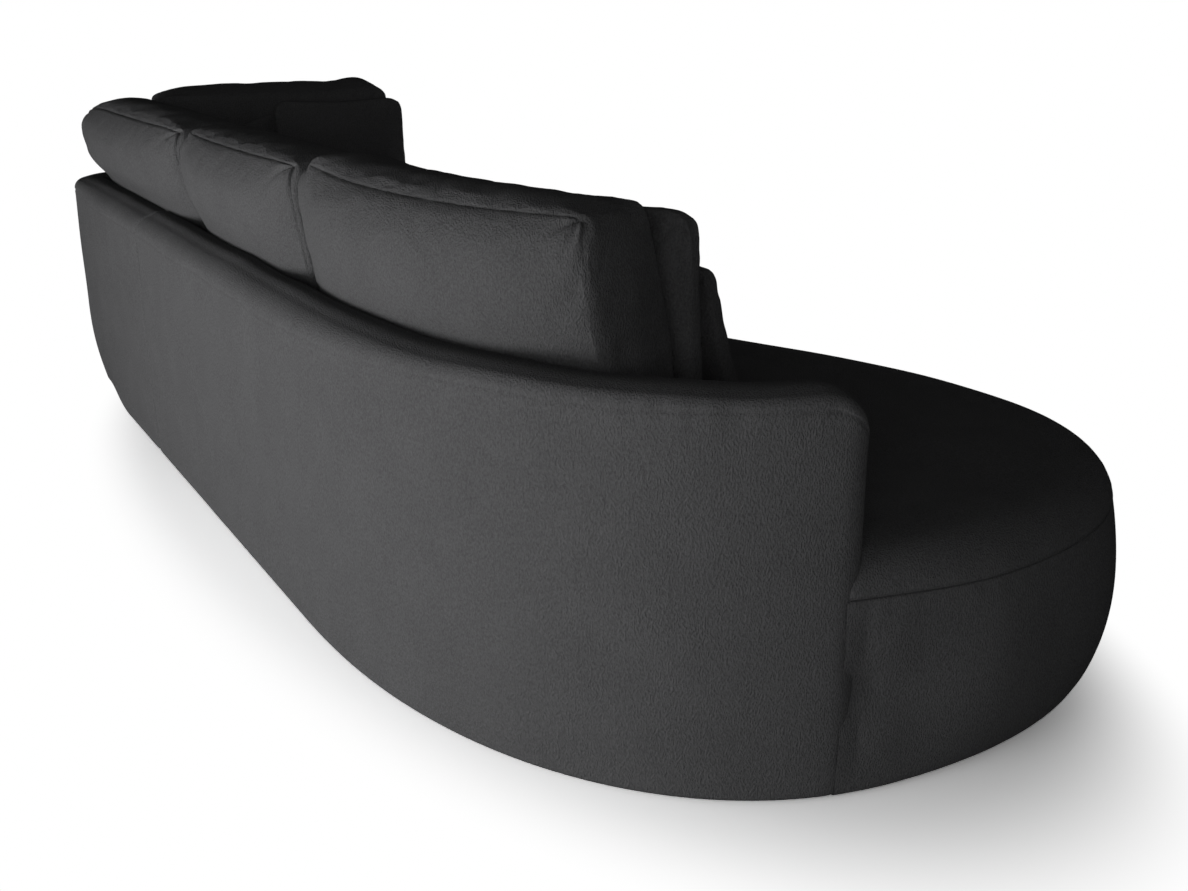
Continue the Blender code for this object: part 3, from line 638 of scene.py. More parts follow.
seatTop = {
    "stations": 230,             # along each half of the outline
    "samples": 3000,             # of the outline, for turning softly
    "rimRows": 14,
    "crownRows": 8,
    "turnWidth": 0.09,           # how softly the rim's direction follows corners
    "edgeRound": 0.065,
    "rimLean": (13.0, 0.9),      # angle of the rim at the seam, and the share of the swell that gives it
    "tuckRound": 0.030,
    "seamRound": 0.0014,
    "crownReach": 0.045,
    "crownRise": 0.003,
    "underside": (0.016, 0.002), # how far its edge stands back, and how far below the seam
    "columns": 60,
    "sway": 0.0006,
    "swayLength": 0.34,
    "pucker": 0.0006,
    "puckerLength": 0.035,
    "puckerReach": 0.020,
    "puckerStart": 0.006,
    "jointFade": (24, 0.09),     # the rounding fades at the joint: over samples, or a length on the corner
    "noseBlend": (0.110, 0.026), # the rim crosses the shell's nose between these distances from its end
    "noseGain": 1.4,             # and has its full rounding before it is across
    "fill": 0.8,
}


# seat cover: a rounded rim carried round the closed outline, then chords from one half to the other;
# edge is 1 along the open border and 0 where the seat tucks against the back or the joint
def makeSeat(name, points, edge, swell, split, joint, side, body, node, seed):
    v = seatTop
    ring = Run(np.concatenate([points, points[:1]]), 1)
    halves = [np.linspace(0.0, split, v["stations"])[:-1], np.linspace(split, 1.0, v["stations"])[:-1]]
    s = np.concatenate(halves) * ring.total
    count = v["samples"]
    fine = np.linspace(0.0, ring.total, count, endpoint=False)
    reach = np.minimum(np.arange(count), count - np.arange(count)) * ring.total / count
    kernel = np.exp(-(reach / v["turnWidth"]) ** 2)
    kernel = np.fft.rfft(kernel / kernel.sum())[:, None]
    soft = np.fft.irfft(np.fft.rfft(ring.at(fine)[1], axis=0) * kernel, count, axis=0)
    edgeFine = np.interp(fine, ring.length[:-1], edge)
    swellFine = np.interp(fine, ring.length[:-1], swell)
    rimInward = np.stack([np.interp(s, fine, soft[:, k], period=ring.total) for k in (0, 1)], -1)
    rimInward /= np.linalg.norm(rimInward, axis=-1, keepdims=True)
    rimPoint = ring.at(s)[0]
    edge = np.interp(s, fine, edgeFine, period=ring.total)[:, None]
    shoulder = seatLevel - v["crownRise"]
    radius = v["tuckRound"] * (1 - edge) + v["edgeRound"] * edge
    proud = np.interp(s, fine, swellFine, period=ring.total)[:, None]
    share = np.linspace(0.0, 1.0, v["rimRows"])[None, :]
    lean, full = v["rimLean"]
    first = np.radians(lean) * np.minimum(proud / (seamSwell * full), 1.0)
    # the rim ends at the slope with which the crown, a half parabola, goes on from it
    last = np.pi / 2 - math.atan(2 * v["crownRise"] / v["crownReach"])
    angle = first + (last - first) * share
    lead = np.linspace(0.0, 1.0, v["crownRows"] + 1)[None, 1:]
    start = shoulder - radius
    height = start + radius * (np.sin(angle) - np.sin(first)) / (1 - np.sin(first))
    inset = (radius + proud) * (1 - np.cos(angle) / np.cos(first)) - proud
    height = np.concatenate([height, seatLevel - (seatLevel - height[:, -1:]) * (1 - lead) ** 2], 1)
    inset = np.concatenate([inset, inset[:, -1:] + (radius + v["crownReach"] - inset[:, -1:]) * lead], 1)
    seamRound = v["seamRound"] * (1 - seatBorder["seamFade"] * proud / seamSwell)
    inset = inset + roundOff(height - start, seamRound) * edge
    pucker = ripples(s, v["puckerLength"], seed + 2)
    tight = np.exp(-(height - start) / v["puckerReach"]) * smooth((height - start) / v["puckerStart"])
    inset = inset - v["pucker"] * pucker * tight * edge
    # a flat underside closes the cover just below its lowest row
    back, below = v["underside"]
    low = np.full((len(s), 1), seamLevel - below)
    inset = np.concatenate([inset[:, :1] + back * edge, inset], 1)
    height = np.concatenate([low, height], 1)
    rim = rimPoint[:, None, :] + rimInward[:, None, :] * inset[..., None]
    rim[..., 0] = side * np.minimum(side * rim[..., 0], side * joint)
    rim = np.concatenate([rim, height[..., None]], -1)
    rows, columns = height.shape
    calm = smooth(np.arange(columns - 2) / v["rimRows"])
    rim[:, 2:, 2] += v["sway"] * waves(rim[:, 2:, :2], v["swayLength"], seed) * calm
    quads = gridQuads(rows, columns, False, -1)
    wrap = np.stack([np.arange(columns - 1), np.arange(1, columns)], -1)
    closing = np.concatenate([wrap + (rows - 1) * columns, wrap[:, ::-1]], 1)
    half = v["stations"] - 1
    first = np.arange(1, half)
    second = (rows - first) % rows
    t = np.linspace(0.0, 1.0, v["columns"])[None, 1:-1, None]
    inner = rim[:, -1]
    field = inner[first][:, None, :] * (1 - t) + inner[second][:, None, :] * t
    field[..., 2] = seatLevel + v["sway"] * waves(field[..., :2], v["swayLength"], seed)
    # chords share their ends with the rim's last row
    base = rows * columns
    ids = base + np.arange(field[..., 0].size).reshape(field.shape[:2])
    ends = [(row * columns + columns - 1)[:, None] for row in (first, second)]
    ids = np.concatenate([ends[0], ids, ends[1]], 1)
    chord = np.stack([ids[:-1, :-1], ids[1:, :-1], ids[1:, 1:], ids[:-1, 1:]], -1).reshape(-1, 4)
    startFan = [columns - 1] + ids[0].tolist()
    endFan = [half * columns + columns - 1] + ids[-1].tolist()[::-1]
    faces = quads.tolist() + closing[:, ::-1].tolist() + chord.tolist()
    faces += [startFan, endFan, (np.arange(rows) * columns).tolist()[::-1]]
    piece = newPiece(name, np.concatenate([rim.reshape(-1, 3), field.reshape(-1, 3)]), faces, outward=True)
    dress(piece, body, [node])


# how far the border still stands proud of the plan line at the seam
seamSwell = seatBorder["bulge"] * math.sin(math.pi * seatBorder["profile"][0]) ** seatBorder["profile"][2]


# closes a seat's run along the joint, from the middle of it and back, with no rounding and no swell there
def closedSeat(run, edge, swell):
    middle = (run[0] + run[-1]) / 2
    lead = straight(middle, run[0], 60)[:-1]
    tail = straight(run[-1], middle, 60)[1:-1]
    rows = [np.concatenate([np.zeros(len(lead)), row, np.zeros(len(tail))]) for row in (edge, swell)]
    return np.concatenate([lead, run, tail]), *rows


def longSeatOutline():
    v = seatTop
    t = np.linspace(0.0, 1.0, 1500)
    s = t * longRun.total
    before, after = v["noseBlend"]
    bare = smooth((s - shellEnd + before) / (before - after))
    point, inward = longRun.at(s)
    run = point + inward * (outline["shellThickness"] * (1 - bare))[:, None]
    edge = np.minimum(1.0, v["noseGain"] * bare)
    fade = v["jointFade"][0]
    edge[-fade:] = np.linspace(1.0, 0.0, fade)
    return closedSeat(run, edge, swellGrowth(longRun, s, shellEnd) * (s > shellEnd) * seamSwell)


def cornerSeatOutline():
    thick = outline["shellThickness"]
    border = cornerFrontRun.points
    s = np.linspace(cornerBackRun.total, 0.0, 900)
    point, inward = cornerBackRun.at(s)
    before, after = seatTop["noseBlend"]
    hidden = smooth((cornerBackRun.total - s - after) / (before - after))
    wall = point + inward * (thick * hidden)[:, None]
    run = np.concatenate([border, wall[1:]])
    edge = np.concatenate([smooth(cornerFrontRun.length / seatTop["jointFade"][1]), 1 - hidden[1:]])
    growth = swellGrowth(cornerFrontRun, cornerFrontRun.length, cornerFrontRun.total) * seamSwell
    return closedSeat(run, edge, np.concatenate([growth, np.zeros(len(wall) - 1)]))


# split is the share of the outline where its halves meet,
# side tells on which side of the joint the seat lies
makeSeat("longSeatCover", *longSeatOutline(), split=0.50, joint=longJoint, side=1,
         body="long_module", node="long_seat_cover", seed=51)
makeSeat("cornerSeatCover", *cornerSeatOutline(), split=0.44, joint=cornerJoint, side=-1,
         body="corner_module", node="corner_seat_cover", seed=61)


# surface of a box lattice: three shares from -1 to 1, closer together towards the edges
def boxLattice(counts, crowd):
    lines = []
    for n, c in zip(counts, crowd):
        t = np.linspace(-1.0, 1.0, n + 1)
        lines.append(np.sign(t) * (1 - (1 - np.abs(t)) ** c))
    size = np.array(counts) + 1
    quads = []
    for axis in range(3):
        p, q = [k for k in range(3) if k != axis]
        i, j = np.meshgrid(np.arange(counts[p]), np.arange(counts[q]), indexing="ij")
        for end in (0, counts[axis]):
            corners = []
            for di, dj in ((0, 0), (1, 0), (1, 1), (0, 1)):
                key = [None] * 3
                key[axis] = np.full(i.shape, end)
                key[p] = i + di
                key[q] = j + dj
                corners.append(np.ravel_multi_index(key, size))
            quad = np.stack(corners, -1).reshape(-1, 4)
            outward = (end > 0) != (axis == 1)
            quads.append(quad if outward else quad[:, ::-1])
    used, quads = np.unique(np.concatenate(quads), return_inverse=True)
    place = np.unravel_index(used, size)
    return np.stack([lines[k][place[k]] for k in range(3)], -1), quads.reshape(-1, 4)


def pointNormals(points, quads):
    face = np.cross(points[quads[:, 2]] - points[quads[:, 0]], points[quads[:, 3]] - points[quads[:, 1]])
    normal = np.zeros_like(points)
    for k in range(4):
        np.add.at(normal, quads[:, k], face)
    return normal / np.maximum(np.linalg.norm(normal, axis=1, keepdims=True), 1e-12)


cushionForm = {
    "gusset": 0.180,
    "crown": 0.035,
    "rearCrown": 0.012,
    "draw": 0.004,
    "topDraw": 0.004,
    "shoulder": (0.040, 0.070, 66.0),   # depth and height of the upper rear edge, and its seam's angle
    "cheek": (0.034, 0.050, 52.0),      # the same for the rear edges at the ends, with their width
    "dome": (0.022, 2.6, 0.7),          # swell of the rear panel above the shell, and its bluntness
    "earPlace": (-0.84, 0.17),          # where along the width the raised corner lies, and how wide it is
    # above the band: where the rear is fully out, where it draws in again, over what length and by what share
    "overhangRise": (0.075, 0.13, 0.09, 0.5),
    "clear": 0.003,                     # room before the shell, between cushions and beside its corner
    "space": 0.006,
    "cornerClear": 0.012,
    "shellRound": 0.030,
    "cornerPower": 20,                  # rounding of the panel's corners
    "cell": 0.0095,
    "seamDepth": 0.0005,
    "seamWidth": 0.0020,
    "lip": 0.0007,                      # seam allowance beside the seam
    "pucker": 0.0009,
    "puckerLength": 0.034,
    "cornerFold": 0.0040,
    "bandFold": (0.0006, 0.12),         # depth and length of the shallow folds across the band
}
pillowForm = {
    "pinch": 0.014,
    "edge": 0.006,
    "clear": 0.004,
    "cornerPower": 8,
    "cell": 0.0095,
    "seamDepth": 0.0030,
    "seamWidth": 0.0030,
    "lip": 0.0010,
    "pucker": 0.0016,
    "puckerLength": 0.034,
    "cornerFold": 0.0030,
}
stitching = {
    "lip": (0.0085, 0.0045),     # distance from the seam, and width
    "upright": 0.5,              # upright seams are drawn less tight
    "pucker": (0.005, 0.020),    # distances from the seam where puckers are full and where they fade
    "fold": (0.020, 0.055),      # the same for the folds, from a corner
}
onPanel = 0.9999                 # shares beyond this belong to the front and rear panels
restGap = 0.0004                 # between the seat and what stands on it
seamX = (longJoint + cornerJoint) / 2
bandRise = shellLevel - seatLevel


# draws the corners of a square in: both shares are scaled by their greatest over their high-power mean
def roundedCorners(a, c, power):
    big = np.maximum(np.maximum(np.abs(a), np.abs(c)), 1e-6)
    scale = np.maximum((np.abs(a) / big) ** power + (np.abs(c) / big) ** power, 1.0) ** (-1 / power)
    return a * scale, c * scale


# an edge turned over a quarter of an ellipse: how far points of the panel, of the band beside it
# and of the band's other side move in from the panel and away from the edge
def turnedEdge(panel, band, fromEdge, fromPanel, form):
    deep, wide, seamAngle = form
    edge, depth = np.clip(fromEdge / wide, 0.0, 1.0), np.clip(fromPanel / deep, 0.0, 1.0)
    panelAngle = np.radians(seamAngle * (1 - edge))
    bandAngle = np.radians(seamAngle + (90 - seamAngle) * depth)
    moveIn, moveOff = deep * (1 - np.cos(panelAngle)), wide * (1 - np.sin(bandAngle))
    sides = [panel, band]
    moveIn = np.select(sides, [moveIn, deep * (1 - np.cos(bandAngle) - depth)], moveIn * (1 - depth))
    moveOff = np.select(sides, [wide * (1 - np.sin(panelAngle) - edge), moveOff], moveOff * (1 - edge))
    return moveIn, moveOff


# boxed cushion: width, thickness and height as shares a, b and c; crowned panels, a banded edge,
# sides drawn in at mid height and corners rounded; above the shell its rear swells out over the band
# by its overhang, and its upper and end edges at the rear turn over a quarter of an ellipse,
# the panel up to the seam's angle, the band from there on
def boxedShape(share, v):
    f = cushionForm
    a, b, c = share.T
    a, c = roundedCorners(a, c, np.where(a * c < 0, v["cornerPower"], f["cornerPower"]))
    above = np.maximum(c, 0.0)
    u = a * (v["width"] / 2 - f["draw"] * (1 - c * c) * (1 - (1 - b * b) * 1.2))
    tall = v["height"] - f["topDraw"] * (1 - a * a) * above * b * b
    earMiddle, earWidth = f["earPlace"]
    ear = v["ear"] * np.exp(-((a - earMiddle) / earWidth) ** 2)
    rise = v["topCrown"] * (1 - b * b) * (1 - a ** 4) + ear * (1 - b * b * 0.6)
    q = (c + 1) / 2 * tall + rise * above ** 4
    crown = np.where(b > 0, f["crown"], f["rearCrown"])
    d = b * (f["gusset"] / 2 + crown * (1 - a ** 4) * (1 - c ** 4))
    first, last = v["overhang"]
    fullyOut, drawnFrom, drawnOver, drawnBy = f["overhangRise"]
    swell = smooth((q - bandRise) / fullyOut) * (1 - drawnBy * smooth((q - bandRise - drawnFrom) / drawnOver))
    d -= (first * (1 - a) + last * (1 + a)) / 2 * swell * np.maximum(-b, 0.0)
    lift = np.clip((q - bandRise) / (v["height"] - bandRise), 0.0, 1.0)
    dome, sidePower, upPower = f["dome"]
    d -= dome * (1 - np.abs(a) ** sidePower) * np.sin(np.pi * lift) ** upPower * np.maximum(-b, 0.0)
    fromEnd, fromTop = (1 - np.abs(share[:, 0])) * v["width"] / 2, (1 - share[:, 2]) * v["height"] / 2
    fromPanel = (1 + b) * f["gusset"] / 2
    panel = b < -onPanel
    topIn, down = turnedEdge(panel, fromTop < 1e-6, fromTop, fromPanel, f["shoulder"])
    endIn, along = turnedEdge(panel, fromEnd < 1e-6, fromEnd, fromPanel, f["cheek"])
    cheek = np.where(a < 0, v["cheeks"][0], v["cheeks"][1])
    d += topIn + endIn * cheek
    q -= down
    u -= np.sign(a) * along * cheek
    # the last end leans: cut back towards the top, flared in front below it
    rearCut, frontCut, frontFlare = v["skew"]
    cut = (rearCut * (1 - b) + frontCut * (1 + b)) / 2 * (1 + c) / 2
    u += (1 + a) / 2 * (frontFlare * (1 + b) / 2 * (1 - above) - cut)
    return u + v["flare"] * q / v["height"] * (1 + a) / 2, d, q


# knife-edged pillow: thin edges drawn in between pointed corners, turned in its own plane
def pillowShape(share, width, height, thickness, roll):
    v = pillowForm
    a, b, c = share.T
    a, c = roundedCorners(a, c, v["cornerPower"])
    u = a * (width / 2 - v["pinch"] * (1 - c * c))
    q = c * (height / 2 - v["pinch"] * (1 - a * a))
    full = np.maximum((1 - a * a) * (1 - c * c), 0.0) ** 0.6
    d = b * (v["edge"] + (thickness / 2 - v["edge"]) * full)
    lowest = width / 2 * abs(math.sin(roll)) + height / 2 * math.cos(roll)
    return u * math.cos(roll) - q * math.sin(roll), d, lowest + u * math.sin(roll) + q * math.cos(roll)


# stands a shape on the seat: along a run, set in from it by depth, and leaning back as it rises
def stood(shape, run, depth, lean):
    u, d, q = shape
    point, inward = run(u)
    flat = point + inward * (depth + d - math.tan(lean) * q)[:, None]
    return np.concatenate([flat, (seatLevel + restGap + q)[:, None]], 1)


def straightRun(origin, direction):
    direction = np.asarray(direction, float) / np.linalg.norm(direction)
    inward = np.array([-direction[1], direction[0]])
    return lambda u: (np.asarray(origin) + u[:, None] * direction, np.tile(inward, (len(u), 1)))


def backDepth(lean):
    v = cushionForm
    return (outline["shellThickness"] + v["clear"] + v["rearCrown"] + v["gusset"] / 2
            + math.tan(lean) * (shellLevel - v["shellRound"] - seatLevel))


def frontDepth(lean):
    return backDepth(lean) + cushionForm["gusset"] / 2 + cushionForm["crown"]


midEdge = seamX - 0.255
cornerWidth = (farEdge - outline["shellThickness"] - 2 * cushionForm["space"]
               - cushionForm["cornerClear"] - midEdge)
middleWidth, endWidth, armWidth = 0.76, 0.96, 0.60
endMiddle = longJoint - midEdge + middleWidth + 1.5 * cushionForm["space"] + endWidth / 2
leanDegrees = {"corner": 12, "middle": 9, "end": 6, "arm": 8, "low": 22}
leans = {name: math.radians(angle) for name, angle in leanDegrees.items()}
armMiddle = rearEdge - frontDepth(leans["corner"]) - cushionForm["space"] - armWidth / 2
# overhang is how far the rear swells over the shell's band at the first and the last end of the run
plainCushion = {"flare": 0.0, "overhang": (0.0, 0.0), "ear": 0.0, "skew": (0.0, 0.0, 0.0), "cornerPower": 20}
boxedCushions = {
    "cornerBackCushion": {
        **plainCushion, "node": "corner_back_cushion", "seed": 71, "width": cornerWidth, "height": 0.468,
        "topCrown": 0.018, "lean": leans["corner"], "overhang": (0.032, 0.014), "cheeks": (1.0, 0.9),
        "cornerPower": 6,
        "run": straightRun((midEdge + (cushionForm["space"] + cornerWidth) / 2, rearEdge), (-1.0, 0.0))},
    "middleBackCushion": {
        **plainCushion, "node": "middle_back_cushion", "seed": 78, "width": middleWidth, "height": 0.466,
        "topCrown": 0.011, "lean": leans["middle"], "overhang": (0.014, 0.0), "ear": 0.004,
        "cheeks": (0.9, 0.9),
        "run": straightRun((midEdge - (cushionForm["space"] + middleWidth) / 2, rearEdge), (-1.0, 0.0))},
    "endBackCushion": {
        **plainCushion, "node": "end_back_cushion", "seed": 85, "width": endWidth, "height": 0.466,
        "topCrown": 0.014, "lean": leans["end"], "overhang": (0.0, 0.006), "ear": 0.012,
        "skew": (0.054, 0.030, 0.050), "cheeks": (0.9, 0.6),
        "run": lambda u: longRun.at(endMiddle + u)},
    "armCushion": {
        **plainCushion, "node": "arm_cushion", "seed": 92, "width": armWidth, "height": 0.480,
        "topCrown": 0.022, "flare": 0.125, "lean": leans["arm"], "ear": 0.020, "cheeks": (0.3, 0.3),
        "run": straightRun((farEdge, armMiddle), (0.0, 1.0))},
}
pillowPoint, pillowInward = longRun.at(np.array([endMiddle + 0.17]))
pillowHeading = np.array([pillowInward[0, 1], -pillowInward[0, 0]])
armRest = frontDepth(leans["arm"]) + pillowForm["clear"]
endRest = frontDepth(leans["end"]) + 3 * pillowForm["clear"]
lowTilt = (math.tan(leans["low"]) - math.tan(leans["end"])) * 0.34 * 0.7
scatterPillows = {
    "armPillowRear": {
        "node": "arm_pillow_rear", "seed": 99, "size": (0.30, 0.38, 0.10), "roll": math.radians(-14),
        "lean": leans["arm"], "depth": armRest + 0.05,
        "run": straightRun((farEdge, armMiddle + 0.195), (0.0, 1.0))},
    "armPillowFront": {
        "node": "arm_pillow_front", "seed": 106, "size": (0.43, 0.475, 0.12), "roll": 0.0,
        "lean": leans["arm"], "depth": armRest + 0.072 + 0.06,
        "run": straightRun((farEdge, armMiddle - 0.070), (0.0, 1.0))},
    "endPillowRear": {
        "node": "end_pillow_rear", "seed": 113, "size": (0.46, 0.45, 0.13), "roll": 0.0, "lean": leans["end"],
        "depth": endRest + 0.065, "run": straightRun(pillowPoint[0], pillowHeading)},
    "endPillowFront": {
        "node": "end_pillow_front", "seed": 120, "size": (0.44, 0.34, 0.12), "roll": 0.0,
        "lean": leans["low"], "depth": endRest + 0.13 + pillowForm["clear"] + 0.06 + lowTilt,
        "run": straightRun(pillowPoint[0] - 0.045 * pillowHeading, pillowHeading)},
}


fabric = {
    "frames": 20,
    "cloth": {
        "quality": 5,
        "mass": 0.02,
        "tension_stiffness": 30.0,
        "compression_stiffness": 30.0,
        "shear_stiffness": 10.0,
        "bending_stiffness": 0.12,
        "use_pressure": True,
        "uniform_pressure_force": 0.7,
        "vertex_group_mass": "sewn",
        "shrink_min": -0.005,    # spare cloth between the seams, which hold their place
    },
    "hold": 0.009,
    "slack": 0.995,              # the filling starts from a smaller shape than it ends at
    "outward": 0.005,            # caps on how far a point may end from the form
    "inward": 0.012,
    "sideways": 0.010,
    "fill": 0.7,
}


# cloth under pressure with no gravity, held along its seams
def startFilling(piece, seam):
    v = fabric
    held = piece.vertex_groups.new(name=v["cloth"]["vertex_group_mass"])
    weight = np.exp(-(seam / v["hold"]) ** 2)
    for k in np.flatnonzero(weight > 0.05).tolist():
        held.add([k], float(weight[k]), "REPLACE")
    filling = piece.modifiers.new("filling", "CLOTH")
    for setting, value in v["cloth"].items():
        setattr(filling.settings, setting, value)
    filling.settings.effector_weights.gravity = 0.0
    filling.collision_settings.use_collision = False
    filling.point_cache.frame_start = 1
    filling.point_cache.frame_end = v["frames"]


def readPoints(mesh):
    flat = np.empty(len(mesh.vertices) * 3)
    mesh.vertices.foreach_get("co", flat)
    return flat.reshape(-1, 3)


# steps the simulation of every piece at once and gives each its points, no Cloth left on it
def fillTogether(pieces, seams):
    for piece, seam in zip(pieces, seams):
        startFilling(piece, seam)
    for step in range(1, fabric["frames"] + 1):
        bpy.context.scene.frame_set(step)
    graph = bpy.context.evaluated_depsgraph_get()
    filled = [readPoints(piece.evaluated_get(graph).data) for piece in pieces]
    for piece in pieces:
        piece.modifiers.clear()
        piece.vertex_groups.clear()
    bpy.context.scene.frame_set(1)
    return filled


# keeps the filled points near the form: the way out and in along its normals levels off at the caps
def capped(filled, form, normal):
    move = filled - form
    out = (move * normal).sum(1, keepdims=True)
    side = move - out * normal
    length = np.linalg.norm(side, axis=1, keepdims=True)
    side = side * np.minimum(1.0, fabric["sideways"] / np.maximum(length, 1e-9))
    out = np.where(out > 0, fabric["outward"] * np.tanh(out / fabric["outward"]),
                   fabric["inward"] * np.tanh(out / fabric["inward"]))
    return form + side + normal * out


# sewing by the distance from the seam: a groove, a lip of seam allowance on both sides, puckers along it,
# and short folds that fan out from the panel's corners
def sewing(v, share, size, seam, seed):
    a, b, c = share.T
    width, height = size
    panel = np.abs(b) > onPanel
    fromEnd = (1 - np.abs(a)) * width / 2
    fromTop = (1 - np.abs(c)) * height / 2
    # each seam has its own stretch of the ripple
    upright = fromEnd < fromTop
    along = np.where(upright, c * height / 2 + 3.0 * np.sign(a), a * width / 2 + 6.0 * np.sign(c)) + b
    push = sewnLine(seam, v["seamDepth"], v["seamWidth"])
    place, wide = stitching["lip"]
    push += v["lip"] * np.exp(-((seam - place) / wide) ** 2)
    push *= np.where(upright, stitching["upright"], 1.0)
    ripple = ripples(along, v["puckerLength"], seed)[:, 0]
    near, far = stitching["pucker"]
    push += v["pucker"] * ripple * np.exp(-seam / far) * smooth(seam / near)
    apart = np.hypot(fromEnd, fromTop)
    turn = np.arctan2(fromTop, fromEnd + 1e-9)
    fold = np.sin(11 * turn + 2.1 * np.sign(a) + 1.3 * np.sign(c) + seed)
    near, far = stitching["fold"]
    return push + v["cornerFold"] * fold * np.exp(-(apart / far) ** 2) * smooth(apart / near) * panel


def cushionStart(v):
    cell = cushionForm["cell"]
    counts = (int(v["width"] / cell), 20, int(v["height"] / cell))
    share, quads = boxLattice(counts, (1.5, 1.6, 1.5))
    form = stood(boxedShape(share, v), v["run"], backDepth(v["lean"]), v["lean"])
    a, b, c = np.abs(share.T)
    panel = np.minimum((1 - a) * v["width"] / 2, (1 - c) * v["height"] / 2)
    seam = np.where(b > onPanel, panel, (1 - b) * cushionForm["gusset"] / 2)
    push = sewing(cushionForm, share, (v["width"], v["height"]), seam, v["seed"])
    # shallow folds across the band that runs round the cushion
    across = np.where(a > c, share[:, 2] * v["height"] / 2, share[:, 0] * v["width"] / 2)
    depth, length = cushionForm["bandFold"]
    crease = waves(np.stack([across, 0.2 * share[:, 1]], -1), length, v["seed"] + 5)
    push += depth * crease * (1 - b ** 4) * (b < onPanel)
    return quads, form, push, seam


def pillowStart(v):
    cell = pillowForm["cell"]
    width, height, thickness = v["size"]
    share, quads = boxLattice((int(width / cell), 4, int(height / cell)), (1.5, 1.0, 1.5))
    form = stood(pillowShape(share, width, height, thickness, v["roll"]), v["run"], v["depth"], v["lean"])
    a, b, c = np.abs(share.T)
    seam = np.where(b > onPanel, np.minimum((1 - a) * width / 2, (1 - c) * height / 2), 0.0)
    return quads, form, sewing(pillowForm, share, (width, height), seam, v["seed"]), seam


def makeSoftPieces():
    made = []
    for group, start in ((boxedCushions, cushionStart), (scatterPillows, pillowStart)):
        for name, v in group.items():
            quads, form, push, seam = start(v)
            middle = form.mean(0)
            piece = newPiece(name, middle + (form - middle) * fabric["slack"], quads.tolist())
            made.append((piece, v, quads, form, push, seam))
    began = time.time()
    filled = fillTogether([row[0] for row in made], [row[5] for row in made])
    print("filled", len(made), "cushions in", round(time.time() - began, 1), "s")
    for (piece, v, quads, form, push, seam), points in zip(made, filled):
        points = capped(points, form, pointNormals(form, quads))
        points += pointNormals(points, quads) * push[:, None]
        points[:, 2] = np.maximum(points[:, 2], seatLevel + restGap)
        piece.data.vertices.foreach_set("co", points.ravel())
        piece.data.update()
        finer = piece.modifiers.new("finer", "SUBSURF")
        finer.levels = finer.render_levels = 1
        dress(piece, v["node"], [v["node"]])


makeSoftPieces()


camera = {
    "place": (-2.785, 1.378, 1.15),
    "pitch": 18.9,
    "heading": 239.1,
    "lens": 39.39,
}
eye = bpy.data.objects.new("camera", bpy.data.cameras.new("camera"))
eye.data.lens = camera["lens"]
eye.data.sensor_width = 36.0
eye.location = camera["place"]
eye.rotation_euler = (math.radians(90 - camera["pitch"]), 0.0, math.radians(camera["heading"]))
bpy.context.scene.collection.objects.link(eye)
bpy.context.scene.camera = eye


lamps = {
    "low": {"place": (-0.2, 2.8, 0.36), "aim": (-0.2, 0.2, 0.4), "size": (3.8, 0.70), "power": 87.0},
    "high": {"place": (-1.3, 4.2, 1.8), "aim": (-0.2, 0.2, 0.4), "size": (2.6, 1.3), "power": 8.0},
    "side": {"place": (-4.2, 2.6, 1.5), "aim": (-0.2, 0.2, 0.4), "size": (2.2, 1.3), "power": 36.0},
    "front": {"place": (2.6, -3.5, 0.28), "aim": (0.5, 0.0, 0.4), "size": (3.0, 0.5), "power": 44.0},
}


def hangLamp(name, v):
    lamp = bpy.data.lights.new(name, "AREA")
    lamp.shape = "RECTANGLE"
    lamp.size, lamp.size_y = v["size"]
    lamp.energy = v["power"]
    hung = bpy.data.objects.new(name, lamp)
    hung.visible_camera = False
    way = np.array(v["aim"]) - np.array(v["place"])
    flat = math.hypot(way[0], way[1])
    hung.location = v["place"]
    hung.rotation_euler = (math.atan2(flat, -way[2]), 0.0, math.atan2(way[1], way[0]) - math.pi / 2)
    bpy.context.scene.collection.objects.link(hung)


for name, settings in lamps.items():
    hangLamp(name, settings)


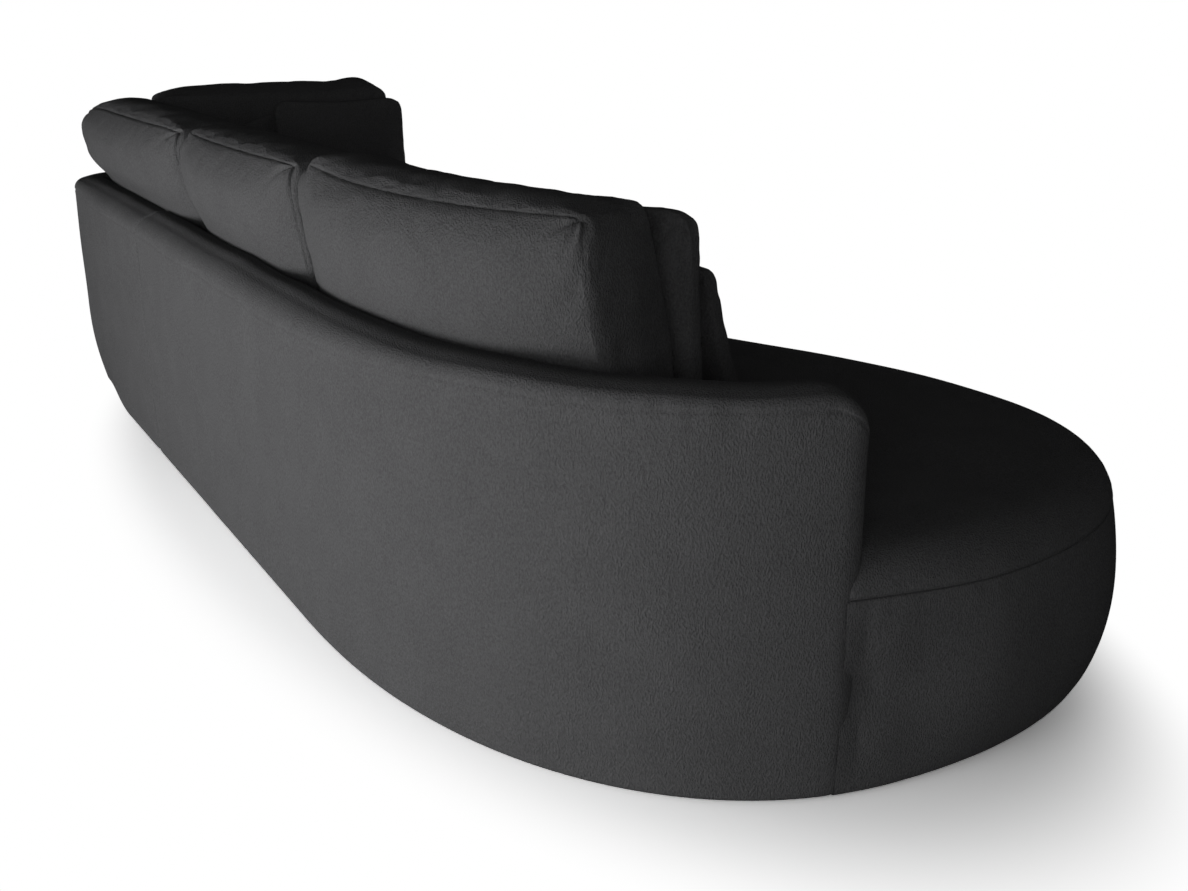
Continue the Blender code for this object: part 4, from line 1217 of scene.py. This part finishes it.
studio = {
    "ambient": 0.065,
    "floorSize": 30.0,
    "floorGain": (2.2, 0.8),     # how light it looks, and what it gives back to the cloth
    "around": (1.62, 0.76),      # half length and half depth of the floor that keeps the shadow
    "clear": (0.98, 1.22),       # where it turns plain white, as shares of those
}


# white to the camera, dim grey to the cloth
def makeWorld():
    world = bpy.data.worlds.new("studio")
    bpy.context.scene.world = world
    world.use_nodes = True
    tree = world.node_tree
    tree.nodes.clear()
    path = Wire(tree, tree.nodes.new("ShaderNodeLightPath"), "Is Camera Ray")
    seen = path.math("MAXIMUM", path, path.out("Is Glossy Ray"))
    seen = path.math("MAXIMUM", seen, path.out("Is Transmission Ray"))
    level = seen * (1.0 - studio["ambient"]) + studio["ambient"]
    sky = path.add("ShaderNodeBackground", None, {"Color": (1.0, 1.0, 1.0, 1.0), "Strength": level})
    path.add("ShaderNodeOutputWorld", None, {"Surface": sky})


# white floor that keeps the shadow near the sofa and turns plain white further out
def makeFloor():
    half = studio["floorSize"] / 2
    corners = np.array([[-half, -half, 0], [half, -half, 0], [half, half, 0], [-half, half, 0]])
    floor = newPiece("floor", corners, [[0, 1, 2, 3]])
    made, place = startMaterial("paleFloor")
    long, deep = studio["around"]
    share = place.add("ShaderNodeVectorMath", {"operation": "DIVIDE"}, {0: place, 1: (long, deep, 1.0)})
    apart = place.add("ShaderNodeVectorMath", {"operation": "LENGTH"}, {0: share}).out("Value")
    near, far = studio["clear"]
    clear = place.add("ShaderNodeMapRange", {"interpolation_type": "SMOOTHSTEP"},
                      {"Value": apart, "From Min": near, "From Max": far})
    path = place.add("ShaderNodeLightPath").out("Is Camera Ray")
    seen, given = studio["floorGain"]
    gain = path * (seen - given) + given
    tint = place.add("ShaderNodeCombineColor", None, {0: gain, 1: gain, 2: gain})
    matt = place.add("ShaderNodeBsdfDiffuse", None, {"Color": tint})
    plain = place.add("ShaderNodeEmission", None, {"Color": (1.0, 1.0, 1.0, 1.0), "Strength": 1.0})
    closeMaterial(place, place.add("ShaderNodeMixShader", None, {0: clear * path, 1: matt, 2: plain}))
    floor.data.materials.append(made)


makeWorld()
makeFloor()
bpy.context.scene.view_settings.view_transform = "Standard"
